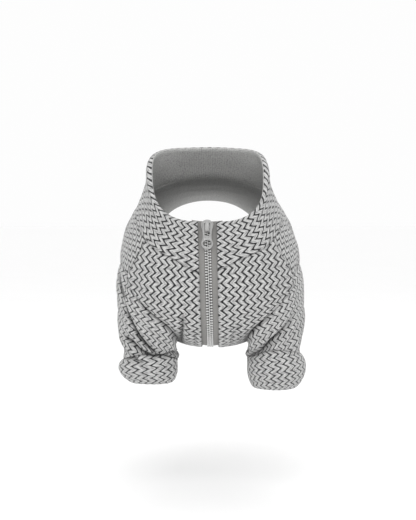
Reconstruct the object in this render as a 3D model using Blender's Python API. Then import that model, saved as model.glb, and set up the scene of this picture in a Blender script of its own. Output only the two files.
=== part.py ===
"""A dog's short-sleeved shirt in thick zigzag knit, standing as it is worn, with nobody in it.

The cloth is cut as a maker cuts it: two fronts, a back, a stand collar, two sleeves and two cuffs.
A zip closes it from the collar's edge down the chest and along the belly to the hem.

All sizes are in millimetres. +X is the viewer's right, +Y runs from the chest to the tail, +Z is up.
The origin lies on the inner face of the back, where the shirt rests on the wearer's withers.

Trunk and collar share one smooth form. A place on it is a station, which counts the rings of a
table from the collar's edge to the hem, and an angle round the wearer: 0 at the zip, 90 at the
viewer's right, 180 at the spine and 270 at the viewer's left.
"""

import math

import bmesh
import bpy
import numpy as np

MM = 0.001

# Cloth
CLOTH = 2.2  # wall of the knit
SEAM_GAP = 0.3  # between two pieces along a seam
LEAN = 0.026  # the shirt sits a little askew: sideways shift for each millimetre further down
LEAN_FROM_Z = -4.0

# The rings of the trunk and the collar. Each crosses the zip line (front), the spine (back) and
# its widest point (side). Fullness squares a ring off between its side and its front or back.
RING_COLUMNS = (
    "front_y", "front_z", "back_y", "back_z", "side_y", "side_z", "half_width", "full_front", "full_back"
)
RINGS = np.array((
    (-117, -43, -34, 35, -74, 9, 59.5, 0.40, 0.32),  # 0 collar's top edge
    (-124, -67, -18, 20, -70, -13, 67.5, 0.34, 0.16),  # 1 half way down the collar
    (-130, -92, -2, 5, -62, -41, 79.0, 0.28, 0.12),  # 2 where the neck meets the shoulders
    (-133, -117, 26, 2, -50, -62, 90.5, 0.24, 0.10),  # 3 shoulders
    (-131, -143, 54, 0, -36, -75, 96.5, 0.22, 0.10),  # 4 the chest's fullest part
    (-119, -164, 80, -2, -18, -82, 97.0, 0.20, 0.10),  # 5 the chest turns under
    (-92, -175, 105, -4, 4, -86, 93.0, 0.18, 0.10),  # 6 between the front legs
    (-50, -177, 131, -6, 36, -88, 88.0, 0.16, 0.10),  # 7 behind the front legs
    (4, -176, 159, -9, 78, -90, 84.0, 0.14, 0.10),  # 8 belly
    (58, -173, 188, -12, 122, -91, 81.0, 0.12, 0.10),  # 9 belly
    (112, -168, 216, -15, 164, -92, 78.0, 0.12, 0.10),  # 10 hem
), dtype=float)
HEM_STATION = len(RINGS) - 1.0

# Cut lines on the trunk
TOP_EDGE = np.array(((0, 0.02), (20, 0.14), (36, 0.14), (55, 0.0), (180, 0.0)))  # angle, station
COLLAR_SEAM = np.array((
    (0, 2.20), (8, 2.05), (16, 1.84), (26, 1.72), (40, 1.68), (55, 1.68), (75, 1.78), (100, 1.93),
    (140, 2.0), (180, 2.0)
))  # angle, station
COLLAR_SKEW = 0.10  # the collar's seam sits lower by this much at the zip's left side
COLLAR_SKEW_REACH = 25.0  # angle over which that fades
SHOULDER_ANGLE = 52.0  # where the shoulder seam leaves the collar
SIDE_SEAM_ANGLE = 50.0  # where the side seam meets the hem
# The collar's top edge is folded over into a soft roll. Columns: share of the collar's height, and
# share of the roll's thickness by which the outer face stands out
ROLL_PROFILE = np.array(((0, 0.35), (0.05, 0.85), (0.12, 1.0), (0.26, 0.62), (0.46, 0.16), (0.72, 0.0), (1, 0.0)))
ROLL_THICKNESS = 4.2
ROLL_AT_ZIP = 0.3  # the roll is flatter beside the zip, as a share of its full thickness
ROLL_FULL_FROM = 62.0  # angle from which it is full
ZIP_OFFSET = -2.0  # the zip sits this far to the side of the middle
ZIP_OPENING = np.array(((0, 9.5), (4, 8.9), (10, 7.8)))  # station, half the width of tape that shows

# The armhole's edge on the trunk. Turns go from its top (0) by its front (90) to its rear (270).
# Columns: turn, station, angle
ARMHOLE = np.array((
    (0, 3.90, 78.0),
    (30, 3.48, 61.0),
    (60, 3.82, 55.5),
    (90, 4.12, 40.0),
    (115, 4.50, 27.0),
    (140, 5.02, 20.8),
    (170, 5.90, 19.5),
    (200, 6.62, 26.0),
    (230, 6.90, 38.0),
    (260, 6.72, 52.0),
    (290, 6.20, 65.0),
    (320, 5.35, 76.0),
    (345, 4.45, 80.5),
))
SHOULDER_TURN = 30.0  # where the shoulder seam meets the armhole
UNDERARM_TURN = 230.0  # where the side seam leaves it

# Mesh density
TURN_STEP = 10.0
SHOULDER_ROWS = 5
SIDE_ROWS = 8
FRONT_COLUMNS = 7
BACK_COLUMNS = 18
SLEEVE_ROWS = 8
CUFF_ROWS = 10
ZIP_ROWS = 32
BESIDE_ARMHOLE = (3.4, 7.0)  # stations at the zip and the spine that level with the armhole

# Sleeves, which hang almost straight down from the armholes
SLEEVE_CENTRE_X = 64.0
SLEEVE_CENTRE_Y = -70.0
SLEEVE_HALF_X = 29.5
SLEEVE_HALF_Y = 29.0
SLEEVE_OUT = 0.11  # how far a sleeve bellies away from the trunk, as a share of its length
SLEEVE_DOWN = 0.34  # how far it first drops, as a share of its length
CUFF_RISE = 0.36  # how far it drops straight into the cuff, as a share of its length
SLEEVE_COLUMNS = ("side", "seam_outer_z", "seam_front_z", "seam_inner_z", "cuff_bottom_z", "cuff_swing")
SLEEVES = (
    (-1, -189, -180, -188, -214, 4.0),
    (1, -183, -177, -186, -220, 3.0),
)

# Creases in the sleeves, as soft troughs from one place to another. A place is a turn round the
# sleeve and a share of its length. Widths and depths are in millimetres.
FOLD_COLUMNS = ("side", "turn_from", "along_from", "turn_to", "along_to", "half_width", "depth")
FOLDS = (
    (-1, 20, 0.15, 62, 0.32, 5.5, 2.5),
    (-1, 62, 0.32, 98, 0.88, 6.0, 4.0),
    (1, 76, 0.60, 140, 0.92, 6.0, 4.0),
)
FOLD_AT_ENDS = 0.35  # depth of a crease at its ends, as a share of its depth half way
SLEEVE_LENGTH = 75.0
SLEEVE_GIRTH = 187.0

# Cuffs, which belly out below the seam, curl under and run up inside, close to the leg. Columns:
# distance out from the leg's ring, level as a share of the height from the seam to the bottom, and
# share of the cuff's swing, by which it stands out further at its outer side than at its inner one
CUFF_PROFILE = np.array((
    (0.0, 0.0, 0.25),
    (1.4, 0.15, 0.85),
    (2.0, 0.36, 1.0),
    (1.0, 0.58, 0.85),
    (-1.8, 0.79, 0.55),
    (-5.4, 0.94, 0.25),
    (-8.9, 1.0, 0.1),
    (-11.5, 0.93, 0.0),
    (-12.2, 0.80, 0.0),
    (-12.2, 0.68, 0.0),
))

# Zip
TAPE_DEPTH = CLOTH + SEAM_GAP  # the tapes lie behind the cloth
TAPE_THICKNESS = 1.0
TAPE_SPAN = (2.9, 16.0)  # from the zip's middle line
TAPE_COLUMNS = 2
TAPE_FROM_STATION = 0.03
CHAIN_HALF_WIDTH = 2.6
CHAIN_DEPTH = 1.7
CHAIN_THICKNESS = 2.6
CHAIN_FROM_STATION = 0.12

# Slider and pull, measured from the hinge's foot on the cloth's face: across, down and outwards
SLIDER_STATION = 0.13
PLATE_HALF_WIDTH = 4.7
PLATE_DOWN = (-3.4, 9.6)
FRONT_PLATE_OUT = (-1.4, 0.0)
BACK_PLATE_OUT = (-6.0, -4.6)
POST_HALF_WIDTH = 2.2
POST_DOWN = (-3.0, -1.2)
POST_SUNK = 0.7  # how far it reaches into either plate
BAIL_HALF_WIDTH = 2.05
# The bail from the side, up its outer face and back along its inner one. Columns: down, out
BAIL_SIDE = (
    (-3.0, -0.7), (-3.0, 2.7), (-1.8, 3.9), (7.4, 3.9), (9.4, 1.9), (9.4, -0.7),
    (8.2, -0.7), (8.2, 1.5), (7.0, 2.7), (-1.4, 2.7), (-1.8, 2.2), (-1.8, -0.7),
)
HINGE_OUT = 1.5
PIN_RADIUS = 0.8
PIN_SUNK = 0.6  # how far the pin reaches into either arm of the fork
PULL_THICKNESS = 1.6
# Columns: down, half width
PULL_OUTLINE = ((-1.0, 4.3), (0.2, 5.6), (2.0, 6.3), (4.5, 5.9), (7.5, 4.9), (11.0, 4.5), (15.5, 4.4))
PULL_RING_DOWN = 21.9
PULL_RING_RADIUS = 5.9
PULL_HOLE = (4.4, 3.6)  # half its width and half its height
PULL_SLOT_HALF_WIDTH = 2.9
PULL_SLOT_FROM = -3.0
PULL_SLOT_END = 14.6

# Steps over which a direction square to a surface is read: first and second coordinate
TRUNK_STEPS = (0.01, 0.5)
TUBE_STEPS = (0.004, 0.5)


def smooth(knots, values, at):
    """Run a smooth curve through the values at the knots and read it at the places asked for."""
    knots = np.asarray(knots, dtype=float)
    at = np.asarray(at, dtype=float)
    slopes = np.gradient(values, knots, axis=0)
    left = np.clip(np.searchsorted(knots, at, side="right") - 1, 0, len(knots) - 2)
    width = knots[left + 1] - knots[left]
    t = (at - knots[left]) / width
    if np.ndim(values) == 2:
        t = t[..., None]
        width = width[..., None]
    start = values[left] * (1 + 2 * t) * (1 - t) ** 2 + slopes[left] * width * t * (1 - t) ** 2
    end = values[left + 1] * t * t * (3 - 2 * t) + slopes[left + 1] * width * t * t * (t - 1)
    return start + end


def leaned(points):
    """Shift points sideways with their depth, as the whole shirt sits a little askew."""
    points[..., 0] += LEAN * (LEAN_FROM_Z - points[..., 2])
    return points


def trunk(station, angle):
    """Points on the outer face of the trunk and the collar."""
    station, angle = np.broadcast_arrays(np.asarray(station, float), np.asarray(angle, float))
    ring = dict(zip(RING_COLUMNS, np.moveaxis(smooth(np.arange(len(RINGS)), RINGS, station), -1, 0)))
    cos, sin = np.cos(np.radians(angle)), np.sin(np.radians(angle))

    def across(front, back, side):
        return side + (front - back) / 2 * cos + ((front + back) / 2 - side) * cos ** 2

    fullness = np.where(cos > 0, ring["full_front"], ring["full_back"])
    x = ring["half_width"] * sin * (1 + fullness * cos ** 2)
    y = across(ring["front_y"], ring["back_y"], ring["side_y"])
    z = across(ring["front_z"], ring["back_z"], ring["side_z"])
    return leaned(np.stack((x, y, z), axis=-1))


def unit(vectors):
    """Vectors of length one."""
    return vectors / np.linalg.norm(vectors, axis=-1, keepdims=True)


def normals_of(surface, u, v, steps):
    """Directions square to a surface, on the side where u cross v points."""
    along = surface(u + steps[0], v) - surface(u - steps[0], v)
    around = surface(u, v + steps[1]) - surface(u, v - steps[1])
    return unit(np.cross(along, around))


def trunk_normals(station, angle):
    """Directions that point out of the trunk."""
    return normals_of(trunk, np.asarray(station, float), np.asarray(angle, float), TRUNK_STEPS)


def mirrored(angle):
    """Read a table for one half of the body at any angle round it."""
    angle = np.mod(angle, 360)
    return np.minimum(angle, 360 - angle)


def top_edge(angle):
    """Station of the collar's top edge."""
    return smooth(TOP_EDGE[:, 0], TOP_EDGE[:, 1], mirrored(angle))


def collar_seam(angle):
    """Station of the seam between the collar and the body."""
    half = mirrored(angle)
    side = np.where(np.mod(angle, 360) > 180, 1, -1)
    skew = COLLAR_SKEW * side * np.exp(-((half / COLLAR_SKEW_REACH) ** 2))
    return smooth(COLLAR_SEAM[:, 0], COLLAR_SEAM[:, 1], half) + skew


def angle_beside_zip(station, distance):
    """Angle on the trunk that lies a short distance from the zip's middle line."""
    half_width = smooth(np.arange(len(RINGS)), RINGS[:, 6], station)
    fullness = smooth(np.arange(len(RINGS)), RINGS[:, 7], station)
    return np.degrees((ZIP_OFFSET + distance) / (half_width * (1 + fullness)))


def zip_edge(station, side):
    """Angle of the cloth's edge beside the zip."""
    opening = smooth(ZIP_OPENING[:, 0], ZIP_OPENING[:, 1], station)
    return angle_beside_zip(station, side * opening)


def armhole(turn):
    """Station and angle on the armhole's edge."""
    around = np.concatenate((ARMHOLE[-2:] - (360, 0, 0), ARMHOLE, ARMHOLE[:3] + (360, 0, 0)))
    return smooth(around[:, 0], around[:, 1:], np.mod(turn, 360))


def spread(start, end, shares):
    """Rows of places on the map, from one boundary to another."""
    shares = shares[None, :, None]
    return start[:, None, :] * (1 - shares) + end[:, None, :] * shares


def side_boundary(turns, side):
    """The outer boundary that a front and the back share, from the collar to the hem."""
    shoulder_from = np.array((collar_seam(side * SHOULDER_ANGLE), SHOULDER_ANGLE))
    shares = np.linspace(0, 1, SHOULDER_ROWS + 1)[:-1, None]
    shoulder = shoulder_from * (1 - shares) + armhole(SHOULDER_TURN) * shares
    shares = np.linspace(0, 1, SIDE_ROWS + 1)[1:, None]
    side_to = np.array((HEM_STATION, SIDE_SEAM_ANGLE))
    below = armhole(UNDERARM_TURN) * (1 - shares) + side_to * shares
    return np.concatenate((shoulder, armhole(turns), below)) * (1, side)


def middle_stations(start, beside_armhole, armhole_rows):
    """Stations along a middle line, in step with the rows of the side boundary."""
    above = np.linspace(start, beside_armhole[0], SHOULDER_ROWS + 1)[:-1]
    beside = np.linspace(*beside_armhole, armhole_rows + 1)
    below = np.linspace(beside_armhole[1], HEM_STATION, SIDE_ROWS + 1)[1:]
    return np.concatenate((above, beside, below))


def follow_collar(places):
    """Bend the first rows of a panel to the collar's seam."""
    rise = collar_seam(places[0, :, 1]) - places[0, :, 0]
    fade = np.clip(1 - np.arange(len(places)) / SHOULDER_ROWS, 0, 1) ** 2
    places[:, :, 0] += fade[:, None] * rise
    return places


def turns_between(start, end):
    """Turns along the armhole's edge, one for each row of the cloth beside it."""
    return np.linspace(start, end, round(abs(end - start) / TURN_STEP) + 1)


def front_places(side):
    """The map of one front, from the zip's edge outwards."""
    turns = turns_between(SHOULDER_TURN, UNDERARM_TURN)
    stations = middle_stations(collar_seam(side), BESIDE_ARMHOLE, len(turns) - 1)
    inner = np.stack((stations, zip_edge(stations, side)), axis=-1)
    shares = np.linspace(0, 1, FRONT_COLUMNS + 1)
    return follow_collar(spread(inner, side_boundary(turns, side), shares))


def back_places():
    """The map of the back, from the viewer's right side seam over the spine to the left one."""
    turns = turns_between(SHOULDER_TURN + 360, UNDERARM_TURN)
    side = side_boundary(turns, 1)
    stations = middle_stations(collar_seam(180), BESIDE_ARMHOLE, len(turns) - 1)
    shares = np.linspace(0, 1, BACK_COLUMNS // 2 + 1)
    spine = np.stack((stations, np.full(len(stations), 180.0)), axis=-1)
    half = spread(side, spine, shares)
    ease = np.sin(shares * math.pi / 2)
    half[:, :, 0] = side[:, None, 0] * (1 - ease) + spine[:, None, 0] * ease
    half = follow_collar(half)
    other = half[:, -2::-1].copy()
    other[:, :, 1] = 360 - other[:, :, 1]
    return np.concatenate((half, other), axis=1)


def collar_places():
    """The map of the collar, from one side of the zip round the neck to the other."""
    right, left = front_places(1)[0, :-1, 1], front_places(-1)[0, -2::-1, 1] + 360
    seam_angles = np.concatenate((right, back_places()[0, :, 1], left))
    shares = ROLL_PROFILE[:, :1]
    stations = top_edge(seam_angles) * (1 - shares) + collar_seam(seam_angles) * shares
    angles = np.broadcast_to(seam_angles, stations.shape).copy()
    angles[:, 0] = zip_edge(stations[:, 0], 1)
    angles[:, -1] = 360 + zip_edge(stations[:, -1], -1)
    return np.stack((stations, angles), axis=-1)


def collar_roll(places):
    """How far the roll at the collar's top edge stands out, over the collar's map."""
    swell = np.clip(mirrored(places[..., 1]) / ROLL_FULL_FROM, 0, 1)
    swell = ROLL_AT_ZIP + (1 - ROLL_AT_ZIP) * swell * swell * (3 - 2 * swell)
    return ROLL_THICKNESS * swell * ROLL_PROFILE[:, 1:]


def seam_shift(border, normals, toward, closed=False):
    """Steps of half the seam's gap from a border into its piece, along the cloth."""
    tangent = np.gradient(border, axis=0)
    if closed:
        tangent = np.roll(border, -1, axis=0) - np.roll(border, 1, axis=0)
    inward = unit(np.cross(tangent, normals))
    sign = np.sign(np.sum(inward * toward, axis=-1, keepdims=True))
    return inward * sign * SEAM_GAP / 2


def drawn_in(points, normals):
    """Draw a panel's four borders in by half the seam's gap, so that it clears its neighbours."""
    shift = np.zeros_like(points)
    for border, beside in ((0, 1), (-1, -2)):
        toward = points[beside] - points[border]
        shift[border] += seam_shift(points[border], normals[border], toward)
        toward = points[:, beside] - points[:, border]
        shift[:, border] += seam_shift(points[:, border], normals[:, border], toward)
    return points + shift


def material(name, color, roughness, metallic=0.0):
    """A plain surface."""
    surface = bpy.data.materials.new(name)
    surface.use_nodes = True
    shader = surface.node_tree.nodes["Principled BSDF"]
    shader.inputs["Base Color"].default_value = (*color, 1.0)
    shader.inputs["Roughness"].default_value = roughness
    shader.inputs["Metallic"].default_value = metallic
    return surface


def new_object(name, mesh_source, surface):
    """Turn a bmesh in millimetres into a smooth-shaded object in metres."""
    bmesh.ops.recalc_face_normals(mesh_source, faces=mesh_source.faces)
    bmesh.ops.scale(mesh_source, vec=(MM, MM, MM), verts=mesh_source.verts)
    mesh = bpy.data.meshes.new(name)
    mesh_source.to_mesh(mesh)
    mesh_source.free()
    mesh.materials.append(surface)
    mesh.shade_smooth()
    mesh.set_sharp_from_angle(angle=math.radians(50))
    piece = bpy.data.objects.new(name, mesh)
    bpy.context.scene.collection.objects.link(piece)
    return piece


def wall(name, outer, inner, surface, closed=False):
    """A wall of cloth between two grids of points, with its borders closed."""
    rows, columns = outer.shape[:2]
    bm = bmesh.new()
    faces_of = [[[bm.verts.new(point) for point in row] for row in grid] for grid in (outer, inner)]
    last = columns if closed else columns - 1
    for grid in faces_of:
        for i in range(rows - 1):
            for j in range(last):
                k = (j + 1) % columns
                bm.faces.new((grid[i][j], grid[i + 1][j], grid[i + 1][k], grid[i][k]))
    face, back = faces_of
    for i in (0, rows - 1):
        for j in range(last):
            k = (j + 1) % columns
            bm.faces.new((face[i][j], face[i][k], back[i][k], back[i][j]))
    if not closed:
        for j in (0, columns - 1):
            for i in range(rows - 1):
                bm.faces.new((face[i][j], face[i + 1][j], back[i + 1][j], back[i][j]))
    return new_object(name, bm, surface)


def trunk_wall(name, places, surface, depth=0.0, thickness=CLOTH, rise=np.zeros((1, 1))):
    """A wall on the trunk's map, at a depth below its outer face, thicker by its rise."""
    points = trunk(places[..., 0], places[..., 1])
    normals = trunk_normals(places[..., 0], places[..., 1])
    points = drawn_in(points, normals)
    outer = points + normals * (rise[..., None] - depth)
    return wall(name, outer, points - normals * (depth + thickness), surface)


def around_leg(side, turn, out, z):
    """Points on a level ring round the leg, outside the cuff's seam by a distance."""
    turn = np.radians(turn)
    x = side * (SLEEVE_CENTRE_X + (SLEEVE_HALF_X + out) * np.cos(turn))
    y = SLEEVE_CENTRE_Y - (SLEEVE_HALF_Y + out) * np.sin(turn)
    return leaned(np.stack(np.broadcast_arrays(x, y, z), axis=-1))


def cuff_seam_z(turn, sizes):
    """Height of the seam between a sleeve and its cuff."""
    cos, sin = np.cos(np.radians(turn)), np.sin(np.radians(turn))
    middle = (sizes["seam_outer_z"] + sizes["seam_inner_z"]) / 2
    return middle + (sizes["seam_outer_z"] - middle) * cos + (sizes["seam_front_z"] - middle) * sin ** 2


def fold_depth(side, along, turn):
    """How far the creases draw a sleeve in."""
    place = np.stack((along * SLEEVE_LENGTH, turn / 360 * SLEEVE_GIRTH), axis=-1)
    depth = np.zeros(np.shape(along))
    for row in FOLDS:
        fold = dict(zip(FOLD_COLUMNS, row))
        if fold["side"] != side:
            continue
        start = np.array((fold["along_from"] * SLEEVE_LENGTH, fold["turn_from"] / 360 * SLEEVE_GIRTH))
        end = np.array((fold["along_to"] * SLEEVE_LENGTH, fold["turn_to"] / 360 * SLEEVE_GIRTH))
        run = end - start
        share = np.clip(np.sum((place - start) * run, axis=-1) / np.sum(run * run), 0, 1)
        away = np.linalg.norm(place - (start + share[..., None] * run), axis=-1)
        swell = FOLD_AT_ENDS + (1 - FOLD_AT_ENDS) * np.sin(share * math.pi)
        depth += fold["depth"] * swell * np.exp(-((away / fold["half_width"]) ** 2))
    return depth


def sleeve_form(side, sizes):
    """A function for the smooth form of a sleeve, by share of its length and turn round it."""

    def form(along, turn):
        place = armhole(turn)
        start = trunk(place[..., 0], side * place[..., 1])
        out = trunk_normals(place[..., 0], side * place[..., 1])
        end = around_leg(side, turn, 0.0, cuff_seam_z(turn, sizes))
        length = np.linalg.norm(end - start, axis=-1, keepdims=True)
        down = np.array((0.0, 0.0, -1.0))
        first = start + length * (out * SLEEVE_OUT + down * SLEEVE_DOWN)
        last = end - length * down * CUFF_RISE
        t = along[..., None]
        return (
            start * (1 - t) ** 3 + 3 * first * t * (1 - t) ** 2 + 3 * last * t * t * (1 - t) + end * t ** 3
        )

    return form


def cuff_form(side, sizes):
    """A function for the face of a cuff, from its seam down, under and up inside."""

    def form(along, turn):
        knots = np.linspace(0, 1, len(CUFF_PROFILE))
        out, level, swing = np.moveaxis(smooth(knots, CUFF_PROFILE, along), -1, 0)
        out = out + swing * sizes["cuff_swing"] * np.cos(np.radians(turn))
        seam_z = cuff_seam_z(turn, sizes)
        return around_leg(side, turn, out, seam_z + level * (sizes["cuff_bottom_z"] - seam_z))

    return form


def tube_grid(form, side, rows, turns):
    """Points and outward directions on a sleeve or a cuff."""
    along, turn = np.meshgrid(np.linspace(0, 1, rows + 1), turns, indexing="ij")
    normals = normals_of(form, along, turn, TUBE_STEPS) * -side
    return along, turn, form(along, turn), normals


def level_normals(side, turns):
    """Level directions out from the leg."""
    turns = np.radians(turns)
    return np.stack((side * np.cos(turns), -np.sin(turns), np.zeros_like(turns)), axis=-1)


def sleeve_wall(name, side, sizes, surface):
    """A sleeve, from the armhole to the cuff."""
    turns = np.arange(0, 360, TURN_STEP)
    along, turn, points, normals = tube_grid(sleeve_form(side, sizes), side, SLEEVE_ROWS, turns)
    place = armhole(turns)
    normals[0] = trunk_normals(place[:, 0], side * place[:, 1])
    normals[-1] = level_normals(side, turns)
    calm = np.sin(along * math.pi)[..., None] ** 0.5
    points -= normals * calm * fold_depth(side, along, turn)[..., None]
    points[0] += seam_shift(points[0], normals[0], points[0].mean(axis=0) - points[0], closed=True)
    points[-1] += seam_shift(points[-1], normals[-1], points[-2] - points[-1], closed=True)
    return wall(name, points, points - normals * CLOTH, surface, closed=True)


def cuff_wall(name, side, sizes, surface):
    """A cuff."""
    turns = np.arange(0, 360, TURN_STEP)
    points, normals = tube_grid(cuff_form(side, sizes), side, CUFF_ROWS, turns)[2:]
    normals[0] = level_normals(side, turns)
    points[0] += seam_shift(points[0], normals[0], points[1] - points[0], closed=True)
    return wall(name, points, points - normals * CLOTH, surface, closed=True)


def zip_places(span, columns, from_station):
    """The map of a strip along the zip, between two distances from its middle line."""
    stations = np.linspace(from_station, HEM_STATION, ZIP_ROWS + 1)
    angles = [angle_beside_zip(stations, distance) for distance in np.linspace(*span, columns + 1)]
    return np.stack((np.broadcast_to(stations, np.shape(angles)).T, np.transpose(angles)), axis=-1)


def hinge_frame():
    """The hinge's foot on the cloth's face, with the directions down the zip and out of it."""
    stations = SLIDER_STATION + np.array((-0.05, 0.0, 0.05))
    above, foot, below = trunk(stations, angle_beside_zip(stations, 0.0))
    down = (below - above) * (0, 1, 1)
    down = down / np.linalg.norm(down)
    return foot, down, np.array((0.0, down[2], -down[1]))


def placed(across, down, out):
    """A point given across, down and outwards from the hinge's foot."""
    foot, down_way, out_way = hinge_frame()
    return foot + np.array((across, 0.0, 0.0)) + down * down_way + out * out_way


def prism(name, outline, across, surface):
    """A solid with an outline in the down and out plane, as wide as the span across."""
    bm = bmesh.new()
    face = bm.faces.new([bm.verts.new(placed(across[0], down, out)) for down, out in outline])
    swept = bmesh.ops.extrude_face_region(bm, geom=[face])["geom"]
    moved = [item for item in swept if isinstance(item, bmesh.types.BMVert)]
    bmesh.ops.translate(bm, vec=(across[1] - across[0], 0, 0), verts=moved)
    return new_object(name, bm, surface)


def plate(name, outline, out, surface):
    """A solid with an outline in the across and down plane, between two distances out."""
    bm = bmesh.new()
    face = bm.faces.new([bm.verts.new(placed(across, down, out[0])) for across, down in outline])
    swept = bmesh.ops.extrude_face_region(bm, geom=[face])["geom"]
    moved = [item for item in swept if isinstance(item, bmesh.types.BMVert)]
    bmesh.ops.translate(bm, vec=placed(0, 0, out[1]) - placed(0, 0, out[0]), verts=moved)
    return new_object(name, bm, surface)


def rectangle(first, second):
    """The corners of a rectangle between two spans."""
    return [(first[i], second[j]) for i, j in ((0, 0), (1, 0), (1, 1), (0, 1))]


def arc(centre, radii, start, end, steps):
    """Points on an ellipse's arc, with angles in degrees."""
    angles = np.radians(np.linspace(start, end, steps + 1))
    return [(centre[0] + radii[0] * math.cos(a), centre[1] + radii[1] * math.sin(a)) for a in angles]


def combine(piece, other, operation):
    """Add another solid to a piece, or cut it away, and keep the other as a hidden guide."""
    modifier = piece.modifiers.new(other.name, "BOOLEAN")
    modifier.operation = operation
    modifier.object = other
    other.hide_render = True
    other.display_type = "WIRE"


def both_ways(span):
    """A span that reaches as far to either side."""
    return -span, span


def slider(surface):
    """The slider: two plates on a post, with a bail over the front plate."""
    wide, narrow = both_ways(PLATE_HALF_WIDTH), both_ways(BAIL_HALF_WIDTH)
    piece = prism("zip_slider", rectangle(PLATE_DOWN, FRONT_PLATE_OUT), wide, surface)
    post_out = (BACK_PLATE_OUT[1] - POST_SUNK, FRONT_PLATE_OUT[0] + POST_SUNK)
    extras = (
        prism("guide_bail", BAIL_SIDE, narrow, surface),
        prism("guide_back_plate", rectangle(PLATE_DOWN, BACK_PLATE_OUT), wide, surface),
        prism("guide_post", rectangle(POST_DOWN, post_out), both_ways(POST_HALF_WIDTH), surface),
    )
    combine(extras[1], extras[2], "UNION")
    combine(piece, extras[0], "UNION")
    combine(piece, extras[1], "UNION")
    return piece


def pull(surface):
    """The pull: a fork on a pin under the bail, with a neck and a plain ring."""
    neck_down, neck_half = PULL_OUTLINE[-1]
    reach = math.degrees(math.asin(neck_half / PULL_RING_RADIUS))
    right = [(half_width, down) for down, half_width in PULL_OUTLINE]
    left = [(-half_width, down) for half_width, down in reversed(right)]
    ring_centre = (0.0, PULL_RING_DOWN)
    ring = arc(ring_centre, (PULL_RING_RADIUS,) * 2, reach - 90, 270 - reach, 20)
    out = (HINGE_OUT - PULL_THICKNESS / 2, HINGE_OUT + PULL_THICKNESS / 2)
    piece = plate("zip_pull", right + ring + left, out, surface)
    through = (out[0] - 1, out[1] + 1)
    slot = [(PULL_SLOT_HALF_WIDTH, PULL_SLOT_FROM)]
    slot += arc((0, PULL_SLOT_END - PULL_SLOT_HALF_WIDTH), (PULL_SLOT_HALF_WIDTH,) * 2, 0, 180, 10)
    slot += [(-PULL_SLOT_HALF_WIDTH, PULL_SLOT_FROM)]
    combine(piece, plate("guide_slot", slot, through, surface), "DIFFERENCE")
    hole = arc(ring_centre, PULL_HOLE, 0, 360, 20)[:-1]
    combine(piece, plate("guide_hole", hole, through, surface), "DIFFERENCE")
    pin = arc((0.0, HINGE_OUT), (PIN_RADIUS,) * 2, 0, 360, 14)[:-1]
    pin_span = both_ways(PULL_SLOT_HALF_WIDTH + PIN_SUNK)
    combine(piece, prism("guide_pin", pin, pin_span, surface), "UNION")
    return piece


def on_hinge(piece):
    """Put a piece's origin on the hinge's axis, and leave the piece where it is."""
    hinge = placed(0, 0, HINGE_OUT) * MM
    for vertex in piece.data.vertices:
        vertex.co = np.array(vertex.co) - hinge
    piece.location = hinge


def zip_pieces(tape, metal):
    """The two tapes, the chain, the slider and the pull."""
    for name, side in (("zip_tape_left", -1), ("zip_tape_right", 1)):
        span = (side * TAPE_SPAN[0], side * TAPE_SPAN[1])
        places = zip_places(span, TAPE_COLUMNS, TAPE_FROM_STATION)
        trunk_wall(name, places, tape, TAPE_DEPTH, TAPE_THICKNESS)
    chain = zip_places(both_ways(CHAIN_HALF_WIDTH), 1, CHAIN_FROM_STATION)
    trunk_wall("zip_chain", chain, metal, CHAIN_DEPTH, CHAIN_THICKNESS)
    slider(metal)
    on_hinge(pull(metal))


def cloth_pieces(knit):
    """The fronts, the back, the collar, the sleeves and the cuffs."""
    places = collar_places()
    trunk_wall("collar", places, knit, rise=collar_roll(places))
    trunk_wall("back", back_places(), knit)
    for row in SLEEVES:
        sizes = dict(zip(SLEEVE_COLUMNS, row))
        side = sizes["side"]
        hand = "right" if side > 0 else "left"
        trunk_wall("front_" + hand, front_places(side), knit)
        sleeve_wall("sleeve_" + hand, side, sizes, knit)
        cuff_wall("cuff_" + hand, side, sizes, knit)


# Build
for old in list(bpy.data.objects):
    bpy.data.objects.remove(old, do_unlink=True)

cloth_pieces(material("zigzag_knit", (0.42, 0.42, 0.42), 0.9))
zip_pieces(material("zip_tape", (0.26, 0.26, 0.26), 0.8), material("zip_metal", (0.55, 0.55, 0.55), 0.4))
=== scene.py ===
"""Dress the dog shirt: zigzag knit, woven zip tape, moulded teeth, and a cast slider and pull.

The cloth lies on the same form as the solids. A place on the trunk is a station, which counts the
rings of a table from the collar's edge to the hem, and an angle round it: 0 at the zip, 90 at the
viewer's right, 180 at the spine. A place on a leg of the shirt, which is a sleeve with its cuff, is
a turn round it, 0 at the outer side and 90 at the front, and a share of the sleeve's or the cuff's
length. Sizes are in millimetres, and a mesh is brought to metres as it is made.
"""

from __future__ import annotations

import logging
import math
from dataclasses import dataclass, field, replace
from enum import Enum
from functools import partial
from typing import Any, Callable

import bmesh
import bpy
import numpy as np
from bmesh.types import BMesh, BMFace, BMVert
from bpy.types import Material, Mesh, Node, NodeSocket, NodeTree, Object
from mathutils import Matrix, Vector

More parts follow.
